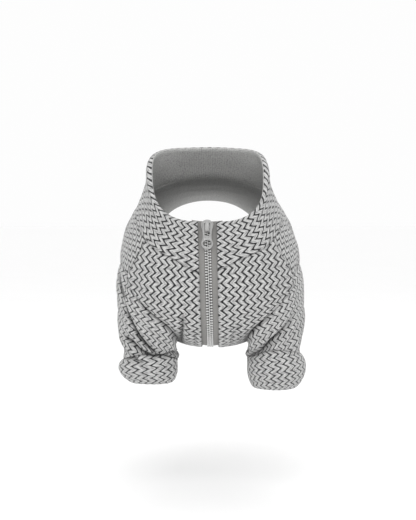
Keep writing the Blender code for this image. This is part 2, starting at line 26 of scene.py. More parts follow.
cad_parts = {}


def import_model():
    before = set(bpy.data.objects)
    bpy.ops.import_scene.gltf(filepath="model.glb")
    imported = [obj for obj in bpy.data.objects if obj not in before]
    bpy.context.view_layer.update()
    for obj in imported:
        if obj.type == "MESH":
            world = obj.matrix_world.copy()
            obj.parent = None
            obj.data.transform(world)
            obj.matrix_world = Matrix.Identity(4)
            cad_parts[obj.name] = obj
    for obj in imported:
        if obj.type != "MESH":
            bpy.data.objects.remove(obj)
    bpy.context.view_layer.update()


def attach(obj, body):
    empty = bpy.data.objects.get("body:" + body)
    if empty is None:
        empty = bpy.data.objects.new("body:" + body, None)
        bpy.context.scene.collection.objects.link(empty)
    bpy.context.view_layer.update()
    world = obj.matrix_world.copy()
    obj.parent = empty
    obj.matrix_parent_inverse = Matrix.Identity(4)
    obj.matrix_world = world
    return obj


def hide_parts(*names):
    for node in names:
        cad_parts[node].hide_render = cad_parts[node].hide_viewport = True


LOG = logging.getLogger("dog_shirt")
MM = 0.001
UV_NAME = "knit"  # where each point lies in the knit's pattern, in metres
SHADE_NAME = "hollow"  # painted shade: how much darker the colour is painted at the bottoms of creases, along seams and under the arms
CLOTH = 2.2  # wall of the knit
HEM_STATION = 10.0
SHARP_ANGLE = 60.0  # degrees past which an edge of a piece is shaded sharp

# How the cloth lies, and the shade painted on it
WAVER_HEIGHT, WAVER_LENGTH = 0.35, 17.0  # its slow unevenness
SEAM_SHADE, SEAM_SHADE_REACH = 0.35, 1.1  # painted shade along a seam or a turned border: how dark, and how far in
DARKEST = 0.92  # of any painted shade, so that the knit still shows
PINCH_HALF_WIDTH = 1.15  # of the sharp line at a crease's bottom
PINCH_SHADE, TROUGH_SHADE = 0.3, 0.03  # painted shade for each millimetre of the sharp line's depth and the trough's
PINCH_DARKEST = 0.95  # the darkest painted shade of such a line
LIP_PLACE, LIP_SHARPNESS = 1.9, 1.8  # of the rise beside a crease, in the crease's half widths
CURVE_STEPS = 6  # of a crease between two of its places
GATHERS_ROUND, GATHERS_REACH = 9, 9.0  # how many there are round a leg, and how far they run out
TRUNK_SCALE = (27.0, 1.55)  # millimetres along the trunk for one station, and round it for one degree
LEG_SCALE = 0.52  # millimetres round a leg for one degree
FRONT_TURN = 90.0  # where a leg's front is

Array = np.ndarray
Pair = tuple[float, float]
Triple = tuple[float, float, float]


class Side(Enum):
    """A side of the shirt, as the viewer sees it."""

    LEFT = -1
    RIGHT = 1

    @property
    def word(self) -> str:
        """The side's name in the nodes' names."""
        return self.name.lower()


class Edge(Enum):
    """How a border of a cloth piece ends: its rounding's reach in millimetres."""

    SEAM = 2.4
    FREE = 1.5
    TURNED = 2.0
    ROLL = 3.4


# Small helpers


def smooth(knots: Array, values: Array, at: Array) -> Array:
    """Run a smooth curve through values and read it.

    Args:
        knots: Places of the values, in rising order.
        values: A value, or a row of them, at each knot.
        at: Places to read.

    Returns:
        The values at those places.
    """
    knots, values, at = (np.asarray(item, dtype=float) for item in (knots, values, at))
    slopes = np.gradient(values, knots, axis=0)
    left = np.clip(np.searchsorted(knots, at, side="right") - 1, 0, len(knots) - 2)
    width = knots[left + 1] - knots[left]
    t = (at - knots[left]) / width
    if values.ndim == 2:
        t, width = t[..., None], width[..., None]
    start = values[left] * (1 + 2 * t) * (1 - t) ** 2 + slopes[left] * width * t * (1 - t) ** 2
    end = values[left + 1] * t * t * (3 - 2 * t) + slopes[left + 1] * width * t * t * (t - 1)
    return start + end


def unit(vectors: Array) -> Array:
    """Vectors of length one."""
    return vectors / np.linalg.norm(vectors, axis=-1, keepdims=True)


def ramp(value: Array, low: float, high: float) -> Array:
    """Rise softly from 0 to 1 between two values."""
    t = np.clip((value - low) / (high - low), 0, 1)
    return t * t * (3 - 2 * t)


def bump_at(value: Array, centre: float, reach: float) -> Array:
    """A soft bump of height 1 round a centre."""
    return np.exp(-(((value - centre) / reach) ** 2))


def running_length(points: Array, axis: int) -> Array:
    """Length along a grid of points from its first row or column.

    Args:
        points: The grid.
        axis: 0 to run along the rows, 1 along the columns.

    Returns:
        A length for each point.
    """
    steps = np.linalg.norm(np.diff(points, axis=axis), axis=-1)
    start = np.zeros_like(np.take(steps, [0], axis=axis))
    return np.concatenate((start, np.cumsum(steps, axis=axis)), axis=axis)


def even_shares(length: float, step: float, borders: Pair) -> Array:
    """Shares of a length that are even in the middle and close together at its borders.

    Args:
        length: The length in millimetres.
        step: The even spacing in millimetres.
        borders: The rounding's reach at either end, or 0 for none.

    Returns:
        Rising shares from 0 to 1.
    """
    near = (0.0, 0.07, 0.22, 0.46, 0.74)
    start = [share * borders[0] for share in near] if borders[0] else [0.0]
    end = [length - share * borders[1] for share in reversed(near)] if borders[1] else [length]
    first, last = borders[0], length - borders[1]
    count = max(2, round((last - first) / step))
    middle = np.linspace(first, last, count + 1)
    middle = middle[(0 if borders[0] else 1):(None if borders[1] else -1)]
    return np.array([*start, *middle, *end]) / length


def ripple(u: Array, v: Array, seed: float, wave: float) -> Array:
    """A slow uneven ripple between about -1 and 1, the same on each run.

    Args:
        u: Places across the cut.
        v: Places along it.
        seed: What makes it a ripple of its own.
        wave: About how long a ripple is.

    Returns:
        A height for each place.
    """
    a = np.sin(u / wave * 2.1 + seed * 1.7 + 0.9 * np.sin(v / wave * 1.3 + seed))
    b = np.sin(v / wave * 1.9 - seed * 2.3 + 0.8 * np.sin(u / wave * 1.1 - seed * 0.6))
    return 0.5 * (a + b)


def linear(code: str) -> tuple[float, float, float, float]:
    """Turn an sRGB hex colour into linear light.

    Args:
        code: The colour, as #rrggbb.

    Returns:
        Red, green, blue and alpha.
    """
    channels = [int(code[start:start + 2], 16) / 255 for start in (1, 3, 5)]
    light = [c / 12.92 if c <= 0.04045 else ((c + 0.055) / 1.055) ** 2.4 for c in channels]
    return (light[0], light[1], light[2], 1.0)


def fill(node: Node, inputs: Any) -> None:
    """Give a node's inputs their values and links.

    Args:
        node: The node.
        inputs: A value or an output socket for each input: in order, or by name or number.
    """
    for place, value in inputs.items() if isinstance(inputs, dict) else enumerate(inputs):
        if isinstance(value, NodeSocket):
            node.id_data.links.new(value, node.inputs[place])
        else:
            node.inputs[place].default_value = value


def add_node(tree: NodeTree, kind: str, inputs: Any = (), out: int | str = 0, **settings: Any) -> NodeSocket:
    """Add a shader node with its settings and links.

    Args:
        tree: The material's node tree.
        kind: The node's type, as it stands after ShaderNode.
        inputs: A value or an output socket for each input: in order, or by name or number.
        out: Name or number of the output that is used.
        settings: The node's own settings.

    Returns:
        That output's socket.
    """
    node = tree.nodes.new("ShaderNode" + kind)
    for name, value in settings.items():
        setattr(node, name, value)
    fill(node, inputs)
    return node.outputs[out]


def new_material(name: str) -> tuple[Material, Callable[..., NodeSocket], Node]:
    """Start a material.

    Args:
        name: Its name.

    Returns:
        The material, add_node for its own tree, and its shader.
    """
    surface = bpy.data.materials.new(name)
    surface.use_nodes = True
    tree = surface.node_tree
    return surface, partial(add_node, tree), tree.nodes["Principled BSDF"]


# Finishes

SOFT_STEP = {"interpolation_type": "SMOOTHSTEP"}
COLORS = {"data_type": "RGBA", "out": 2}  # of a Mix node, which takes its colours at inputs 6 and 7


@dataclass(frozen=True)
class ZigzagKnit:
    """Thick jacquard double knit in marled wool-mix yarn, brushed a little on its face.

    The eye sees pale puffy ribs that zigzag down the cloth, parted by thin dark lines that lie in
    grooves, with flecks in the yarn and a soft bloom at the edges.
    """

    pale: str = "#c0c0bf"
    fleck: str = "#848484"
    line: str = "#1e1e20"
    knot: str = "#101012"  # the lines' corners, where the dark stitches crowd
    hollow: str = "#0c0c0d"  # the colour of the painted shade at the bottom of a sharp crease, which hardly any light reaches
    pitch: float = 7.05  # from one line to the next
    period: float = 9.1  # one whole zigzag
    swing: float = 5.3  # from a left corner to a right one
    stroke: float = 1.4  # the dark line's width
    groove: float = 0.25  # how deep the lines lie
    groove_wall: Pair = (-0.5, 0.95)  # from, in millimetres, and to, as a share of the way to a rib's middle
    streak: Pair = (1.5, 3.0)  # one streak of darker yarn, across and along the lines
    stitch: float = 1.7  # a pair of stitches
    wander: Pair = (0.9, 1.3)  # how far the lines stray, across and along
    wander_length: float = 5.0  # from one stray to the next
    rib_shade: float = 0.3  # how much greyer a rib lies along its middle
    puff: float = 0.2  # height of a rib's fine relief above its line's
    roughness: float = 0.92
    sheen: float = 0.25

    @property
    def square_on(self) -> float:
        """A distance across the cut times this is one square to the lines."""
        slope = 2 * self.swing / self.period
        return 1 / math.sqrt(1 + slope * slope)

    def away_from_line(self, u: Array, v: Array) -> Array:
        """Distance to the nearest dark line.

        Args:
            u: Places across the cut, in millimetres.
            v: Places along the cut.

        Returns:
            A distance square to the lines, for each place.
        """
        turn = np.abs((v / self.period) % 1 - 0.5) * 2
        across = (u - self.swing * (turn - 0.5)) / self.pitch
        return np.abs(across - np.round(across)) * self.pitch * self.square_on

    def relief(self, u: Array, v: Array) -> Array:
        """How far the face sinks below the ribs' tops."""
        low, high = self.groove_wall[0], self.pitch / 2 * self.square_on * self.groove_wall[1]
        return self.groove * (1 - ramp(self.away_from_line(u, v), low, high))

    def material(self, name: str) -> Material:
        """Make the material.

        Args:
            name: Its name.

        Returns:
            The material.
        """
        surface, add, shader = new_material(name)
        cut = add("UVMap", uv_map=UV_NAME)
        millimetres = add("VectorMath", (cut, (1 / MM, 1 / MM, 1 / MM)), operation="MULTIPLY")
        wave = 1 / self.wander_length
        stray = add("TexNoise", {"Vector": millimetres, "Scale": wave, "Detail": 1.0}, "Color")
        stray = add("VectorMath", (stray, (0.5, 0.5, 0.5)), operation="SUBTRACT")
        stray = add("VectorMath", (stray, (*self.wander, 0.0)), operation="MULTIPLY")
        place = add("VectorMath", (millimetres, stray), operation="ADD")
        u, v, _ = add("SeparateXYZ", (place,)).node.outputs
        # Zigzag: how far each line has swung at this height, then the distance to the nearest line
        height = add("Math", (v, self.period), operation="DIVIDE")
        turn = add("Math", (height, 0.5), operation="PINGPONG")
        swung = add("Math", (turn, 2 * self.swing, -self.swing / 2), operation="MULTIPLY_ADD")
        beside = add("Math", (u, swung), operation="ADD")
        across = add("Math", (beside, self.pitch), operation="DIVIDE")
        away = add("Math", (across, 0.5), operation="PINGPONG")
        away = add("Math", (away, self.pitch * self.square_on), operation="MULTIPLY")
        corner = add("Math", (turn, 0.25), operation="SUBTRACT")
        corner = add("Math", (corner,), operation="ABSOLUTE")
        corner = add("MapRange", (corner, 0.15, 0.245, 0.0, 1.0), **SOFT_STEP)
        # Yarn: the stitches' noise, and a streakier one that runs with the lines
        stitches = add("TexNoise", {"Vector": millimetres, "Scale": 1 / self.stitch, "Detail": 2.0})
        across, along = (add("Math", pair, operation="DIVIDE") for pair in zip((beside, v), self.streak))
        grain = add("CombineXYZ", (across, along))
        marl = add("TexNoise", {"Vector": grain, "Scale": 1.0, "Detail": 1.0})
        # The dark line, wider at its corners, and broken where a stitch covers it
        uneven = add("Math", (stitches, 0.9, -0.45), operation="MULTIPLY_ADD")
        uneven = add("Math", (uneven, 0.35), operation="MULTIPLY")
        wider = add("Math", (corner, 0.25), operation="MULTIPLY")
        width = add("Math", (away, wider), operation="SUBTRACT")
        width = add("Math", (width, uneven), operation="ADD")
        limits = (self.stroke * 0.30, self.stroke * 0.72)
        dark = add("MapRange", (width, *limits, 1.0, 0.0), **SOFT_STEP)
        covered = add("MapRange", (stitches, 0.25, 0.5, 0.8, 1.0), **SOFT_STEP)
        dark = add("Math", (dark, covered), operation="MULTIPLY")
        line = add("Mix", {0: corner, 6: linear(self.line), 7: linear(self.knot)}, **COLORS)
        # The ribs: flecked, and a little greyer along their middles
        limits = (self.pitch / 2 * self.square_on - 0.7, 2.45, 0.0, self.rib_shade)
        middle = add("MapRange", (away, *limits), **SOFT_STEP)
        middle = add("Math", (middle, stitches), operation="MULTIPLY")
        fleck = add("MapRange", (marl, 0.36, 0.66, 0.0, 0.85), **SOFT_STEP)
        fleck = add("Math", (fleck, middle), operation="ADD")
        yarn = add("Mix", {0: fleck, 6: linear(self.pale), 7: linear(self.fleck)}, **COLORS)
        color = add("Mix", {0: dark, 6: yarn, 7: line}, **COLORS)
        # Painted shade: the colour darkens towards the shade colour where the mesh's attribute marks a
        # crease, seam or armpit
        hollow = add("Attribute", (), "Fac", attribute_name=SHADE_NAME)
        color = add("Mix", {0: hollow, 6: color, 7: linear(self.hollow)}, **COLORS)
        puff = add("MapRange", (away, 0.0, 1.2, 0.0, self.puff), **SOFT_STEP)
        relief = add("Math", (stitches, 0.5, puff), operation="MULTIPLY_ADD")
        relief = add("Math", (marl, 0.4, relief), operation="MULTIPLY_ADD")
        fill(shader, {
            "Base Color": color,
            "Normal": add("Bump", {"Height": relief, "Distance": MM, "Strength": 0.9}),
            "Roughness": self.roughness,
            "Specular IOR Level": 0.2,
            "Sheen Weight": self.sheen,
            "Sheen Roughness": 0.5,
        })
        return surface


@dataclass(frozen=True)
class KnitReverse:
    """The jacquard's wrong side: small plain stitches with the dark yarn showing as specks.

    The eye sees an even mid grey with fine rows, a little darker than the face.
    """

    pale: str = "#b4b4b2"
    speck: str = "#6c6c6e"
    row: float = 1.6

    def material(self) -> Material:
        """Make the material.

        Returns:
            The material.
        """
        surface, add, shader = new_material("zigzag_knit_reverse")
        cut = add("UVMap", uv_map=UV_NAME)
        scale = 1 / (self.row * MM)
        specks = add("TexVoronoi", {"Vector": cut, "Scale": scale, "Randomness": 0.35}, "Distance")
        marl = add("TexNoise", {"Vector": cut, "Scale": scale * 1.4, "Detail": 1.0})
        shade = add("MapRange", (specks, 0.2, 0.75, 0.0, 0.9), **SOFT_STEP)
        shade = add("Math", (shade, marl), operation="MULTIPLY")
        shade = add("Math", (shade, 1.5), operation="MULTIPLY")
        colors = {0: shade, 6: linear(self.pale), 7: linear(self.speck)}
        relief = {"Height": specks, "Distance": 0.5 * MM, "Strength": 0.8}
        fill(shader, {
            "Base Color": add("Mix", colors, **COLORS),
            "Normal": add("Bump", relief, invert=True),
            "Roughness": 0.95,
            "Specular IOR Level": 0.2,
        })
        return surface


@dataclass(frozen=True)
class WovenTape:
    """Polyester zip tape, woven in a fine herringbone with a cord along the teeth.

    The eye sees a smooth mid-grey band with faint upright lines, and painted shade along its inner edge under
    the teeth.
    """

    ground: str = "#898886"
    thread: str = "#72716f"
    shade: str = "#5a5a59"  # painted shade on the tape's inner edge, under the teeth
    shade_ends: Pair = (3.2, 3.9)  # how far from the zip's middle the painted shade reaches
    wale: float = 1.5  # a pair of herringbone columns, drawn wider than the real 1 mm so that it shows
    course: float = 0.8
    cloud: float = 2.2

    def material(self) -> Material:
        """Make the material.

        Returns:
            The material.
        """
        surface, add, shader = new_material("zip_tape_weave")
        cut = add("UVMap", uv_map=UV_NAME)
        u, v, _ = add("SeparateXYZ", (cut,)).node.outputs
        columns = add("Math", (u, self.wale * MM), operation="DIVIDE")
        columns = add("Math", (columns, 0.5), operation="PINGPONG")
        steps = add("Math", (v, 1 / (self.course * MM), columns), operation="MULTIPLY_ADD")
        twill = add("Math", (steps, 0.5), operation="PINGPONG")
        grain = add("TexNoise", {"Vector": cut, "Scale": 1 / (self.cloud * MM), "Detail": 2.0})
        shade = add("Math", (columns, twill), operation="ADD")
        shade = add("Math", (shade, 0.45), operation="MULTIPLY")
        shade = add("Math", (grain, 0.4, shade), operation="MULTIPLY_ADD")
        color = add("Mix", {0: shade, 6: linear(self.ground), 7: linear(self.thread)}, **COLORS)
        # Painted shade along the inner edge, under the teeth, where little light reaches the tape
        limits = (self.shade_ends[0] * MM, self.shade_ends[1] * MM, 1.0, 0.0)
        under = add("MapRange", (u, *limits), **SOFT_STEP)
        fill(shader, {
            "Base Color": add("Mix", {0: under, 6: color, 7: linear(self.shade)}, **COLORS),
            "Normal": add("Bump", {"Height": twill, "Distance": 0.12 * MM, "Strength": 0.7}),
            "Roughness": 0.78,
            "Specular IOR Level": 0.3,
        })
        return surface


@dataclass(frozen=True)
class MouldedAcetal:
    """Injection-moulded acetal teeth.

    The eye sees pale grey beads with a low waxy gloss.
    """

    color: str = "#cacac9"
    shadow: str = "#b4b4b3"
    cloud: float = 4.0
    gloss: Pair = (0.36, 0.48)  # the roughness, from the glossiest places to the dullest

    def material(self) -> Material:
        """Make the material.

        Returns:
            The material.
        """
        surface, add, shader = new_material("moulded_acetal")
        place = add("TexCoord", (), "Object")
        cloud = add("TexNoise", {"Vector": place, "Scale": 1 / (self.cloud * MM), "Detail": 2.0})
        colors = {0: cloud, 6: linear(self.color), 7: linear(self.shadow)}
        gloss = (cloud, 0.3, 0.7, *self.gloss)
        fill(shader, {
            "Base Color": add("Mix", colors, **COLORS),
            "Roughness": add("MapRange", gloss, **SOFT_STEP),
            "IOR": 1.48,
        })
        return surface


@dataclass(frozen=True)
class LacqueredZinc:
    """Cast zinc under grey lacquer.

    The eye sees a smooth pale grey with a satin gloss and the faint orange peel of sprayed lacquer.
    """

    color: str = "#a3a3a2"
    worn: str = "#919190"
    cloud: float = 3.0
    peel: float = 0.5
    gloss: Pair = (0.28, 0.42)  # the roughness, from the glossiest places to the dullest

    def material(self, name: str) -> Material:
        """Make the material.

        Args:
            name: Its name.

        Returns:
            The material.
        """
        surface, add, shader = new_material(name)
        place = add("TexCoord", (), "Object")
        cloud = add("TexNoise", {"Vector": place, "Scale": 1 / (self.cloud * MM), "Detail": 3.0})
        peel = add("TexNoise", {"Vector": place, "Scale": 1 / (self.peel * MM)})
        colors = {0: cloud, 6: linear(self.color), 7: linear(self.worn)}
        gloss = (cloud, 0.3, 0.7, *self.gloss)
        fill(shader, {
            "Base Color": add("Mix", colors, **COLORS),
            "Roughness": add("MapRange", gloss, **SOFT_STEP),
            "Normal": add("Bump", {"Height": peel, "Distance": 0.03 * MM, "Strength": 0.5}),
            "Metallic": 0.3,
            "Coat Weight": 0.25,
            "Coat Roughness": 0.2,
        })
        return surface


# Form


@dataclass(frozen=True)
class Form:
    """The form that the cloth lies on: for each place on it, a point."""

    # front_y, front_z, back_y, back_z, side_y, side_z, half_width, full_front, full_back
    rings: tuple[tuple[float, ...], ...] = (
        (-117, -43, -34, 35, -74, 9, 59.5, 0.40, 0.32),
        (-124, -67, -18, 20, -70, -13, 67.5, 0.34, 0.16),
        (-130, -92, -2, 5, -62, -41, 79.0, 0.28, 0.12),
        (-133, -117, 26, 2, -50, -62, 90.5, 0.24, 0.10),
        (-131, -143, 54, 0, -36, -75, 96.5, 0.22, 0.10),
        (-119, -164, 80, -2, -18, -82, 97.0, 0.20, 0.10),
        (-92, -175, 105, -4, 4, -86, 93.0, 0.18, 0.10),
        (-50, -177, 131, -6, 36, -88, 88.0, 0.16, 0.10),
        (4, -176, 159, -9, 78, -90, 84.0, 0.14, 0.10),
        (58, -173, 188, -12, 122, -91, 81.0, 0.12, 0.10),
        (112, -168, 216, -15, 164, -92, 78.0, 0.12, 0.10),
    )
    # angle, station
    top_edge_at: tuple[Pair, ...] = (
        (0, 0.02), (20, 0.14), (36, 0.14), (55, 0.0), (180, 0.0),
    )
    collar_seam_at: tuple[Pair, ...] = (
        (0, 2.20), (8, 2.05), (16, 1.84), (26, 1.72), (40, 1.68), (55, 1.68), (75, 1.78), (100, 1.93),
        (140, 2.0), (180, 2.0),
    )
    # turn, station, angle
    armhole_at: tuple[Triple, ...] = (
        (0, 3.90, 78.0), (30, 3.48, 61.0), (60, 3.82, 55.5), (90, 4.12, 40.0), (115, 4.50, 27.0),
        (140, 5.02, 20.8), (170, 5.90, 19.5), (200, 6.62, 26.0), (230, 6.90, 38.0), (260, 6.72, 52.0),
        (290, 6.20, 65.0), (320, 5.35, 76.0), (345, 4.45, 80.5),
    )
    # station, half the width of tape that shows
    opening_at: tuple[Pair, ...] = ((0, 9.5), (4, 8.9), (10, 7.8))
    # share of the collar's height, share of the roll's thickness
    roll_profile: tuple[Pair, ...] = (
        (0, 0.35), (0.05, 0.85), (0.12, 1.0), (0.26, 0.62), (0.46, 0.16), (0.72, 0.0), (1, 0.0),
    )
    roll_thickness: float = 4.2
    roll_at_zip: float = 0.3  # share of the roll that is left beside the zip
    roll_full_from: float = 62.0  # the angle from which it is whole
    lean: float = 0.026  # how far the shirt leans to the viewer's right, for each millimetre down
    lean_from: float = -4.0  # the height at which it doesn't
    collar_skew: float = 0.10  # how much lower the collar's seam meets the zip on the viewer's left
    collar_skew_reach: float = 25.0
    shoulder_angle: float = 52.0  # where the shoulder seam meets the collar's
    side_seam_angle: float = 50.0  # where the side seam meets the hem
    zip_offset: float = -2.0
    shoulder_turn: float = 30.0  # where the shoulder seam meets the armhole
    underarm_turn: float = 230.0  # where the side seam does
    beside_armhole: Pair = (3.4, 7.0)  # stations level with the armhole's ends

    def leaned(self, points: Array) -> Array:
        """Shift points sideways with their depth."""
        points[..., 0] += self.lean * (self.lean_from - points[..., 2])
        return points

    def face(self, station: Array, angle: Array) -> Array:
        """Points on the outer face of the trunk and the collar.

        Args:
            station: Stations.
            angle: Angles in degrees.

        Returns:
            A point for each place.
        """
        station, angle = np.broadcast_arrays(np.asarray(station, float), np.asarray(angle, float))
        rings = np.array(self.rings, dtype=float)
        table = smooth(np.arange(len(rings)), rings, station.ravel()).reshape(*station.shape, -1)
        front, back, side = table[..., 0:2], table[..., 2:4], table[..., 4:6]
        half_width, full_front, full_back = np.moveaxis(table[..., 6:], -1, 0)
        cos, sin = np.cos(np.radians(angle)), np.sin(np.radians(angle))
        turn = cos[..., None]
        x = half_width * sin * (1 + np.where(cos > 0, full_front, full_back) * cos ** 2)
        # Depth and height run from the front by the side to the back
        rest = side + (front - back) / 2 * turn + ((front + back) / 2 - side) * turn ** 2
        return self.leaned(np.concatenate((x[..., None], rest), axis=-1))

    def outwards(self, station: Array, angle: Array) -> Array:
        """Directions that point out of the trunk.

        Args:
            station: Stations.
            angle: Angles in degrees.

        Returns:
            A direction of length one for each place.
        """
        station, angle = np.asarray(station, float), np.asarray(angle, float)
        along = self.face(station + 0.01, angle) - self.face(station - 0.01, angle)
        around = self.face(station, angle + 0.5) - self.face(station, angle - 0.5)
        return unit(np.cross(along, around))

    def top_edge(self, angle: Array) -> Array:
        """Station of the collar's top edge."""
        table = np.array(self.top_edge_at)
        return smooth(table[:, 0], table[:, 1], mirrored(angle))

    def collar_seam(self, angle: Array) -> Array:
        """Station of the seam between the collar and the body.

        Args:
            angle: Angles in degrees.

        Returns:
            A station for each angle.
        """
        table = np.array(self.collar_seam_at)
        half = mirrored(angle)
        side = np.where(np.mod(angle, 360) > 180, 1, -1)
        skew = self.collar_skew * side * np.exp(-((half / self.collar_skew_reach) ** 2))
        return smooth(table[:, 0], table[:, 1], half) + skew

    def collar_roll(self, share: Array, angle: Array) -> Array:
        """How far the roll at the collar's top edge stands out.

        Args:
            share: Shares of the collar's height.
            angle: Angles in degrees.

        Returns:
            A height for each place.
        """
        table = np.array(self.roll_profile)
        swell = self.roll_at_zip + (1 - self.roll_at_zip) * ramp(mirrored(angle), 0, self.roll_full_from)
        return self.roll_thickness * swell * smooth(table[:, 0], table[:, 1], share)

    def beside_zip(self, station: Array, distance: Array) -> Array:
        """Angle that lies a short distance from the zip's middle line.

        Args:
            station: Stations.
            distance: Distances to the viewer's right of the middle line.

        Returns:
            An angle for each place.
        """
        rings = np.array(self.rings, dtype=float)
        stations = np.arange(len(rings))
        half_width = smooth(stations, rings[:, 6], station)
        fullness = smooth(stations, rings[:, 7], station)
        return np.degrees((self.zip_offset + distance) / (half_width * (1 + fullness)))

    def zip_edge(self, station: Array, side: int) -> Array:
        """Angle of the cloth's edge beside the zip."""
        table = np.array(self.opening_at)
        return self.beside_zip(station, side * smooth(table[:, 0], table[:, 1], station))

    def armhole(self, turn: Array) -> Array:
        """Station and angle on the armhole's edge.

        Args:
            turn: Turns round it, in degrees.

        Returns:
            A station and an angle for each turn.
        """
        table = np.array(self.armhole_at)
        table = np.concatenate((table[-2:] - (360, 0, 0), table, table[:3] + (360, 0, 0)))
        return smooth(table[:, 0], table[:, 1:], np.mod(turn, 360))


def mirrored(angle: Array) -> Array:
    """Fold any angle round the body onto one half of it."""
    angle = np.mod(angle, 360)
    return np.minimum(angle, 360 - angle)


@dataclass(frozen=True)
class Crease:
    """A soft trough through a few places, with a rise on both its sides.

    With a depth below zero it is a soft ridge. Along its bottom the colour is darkened as painted shade.
    """

    places: tuple[Pair, ...]
    half_width: float
    depth: float
    pinch: float = 0.0  # depth of the sharp line at its bottom
    lip: float = 0.3  # rise beside it, as a share of its depth
    at_ends: float = 0.2  # depth at its ends, as a share of its depth half way
    shadow: float = 1.5  # reach of the painted shade line at its bottom

    def draw(self, place: Array, scale: Pair) -> tuple[Array, Array]:
        """Work out how far it draws the face in, and how much painted shade its bottom gets.

        Args:
            place: Places on the piece, in the same two coordinates as the crease's own.
            scale: Millimetres for one unit of either coordinate.

        Returns:
            A depth in millimetres and a painted shade from 0 to 1, for each place.
        """
        metric = np.array(scale)
        knots = np.array(self.places, dtype=float) * metric
        count = len(knots)
        path = smooth(np.arange(count), knots, np.linspace(0, count - 1, CURVE_STEPS * (count - 1) + 1))
        place = place * metric
        away = np.full(place.shape[:-1], np.inf)
        share = np.zeros(place.shape[:-1])
        for step, (first, last) in enumerate(zip(path, path[1:])):
            run = last - first
            along = np.clip(np.sum((place - first) * run, axis=-1) / np.sum(run * run), 0, 1)
            gap = np.linalg.norm(place - first - along[..., None] * run, axis=-1)
            nearer = gap < away
            away = np.where(nearer, gap, away)
            share = np.where(nearer, (step + along) / (len(path) - 1), share)
        swell = self.at_ends + (1 - self.at_ends) * np.sin(share * math.pi) ** 0.7
        x = away / self.half_width
        trough = np.exp(-(x ** 2)) - self.lip * np.exp(-((x - LIP_PLACE) ** 2) * LIP_SHARPNESS)
        sharp = bump_at(away, 0.0, PINCH_HALF_WIDTH)
        # Painted shade: a dark line along the bottom, and a wider faint one across the trough
        dark = min(PINCH_DARKEST, PINCH_SHADE * self.pinch) * bump_at(away, 0.0, self.shadow)
        dark = dark + TROUGH_SHADE * max(self.depth, 0.0) * np.exp(-(x ** 2))
        return swell * (self.depth * trough + self.pinch * sharp), swell * dark


# Cloth


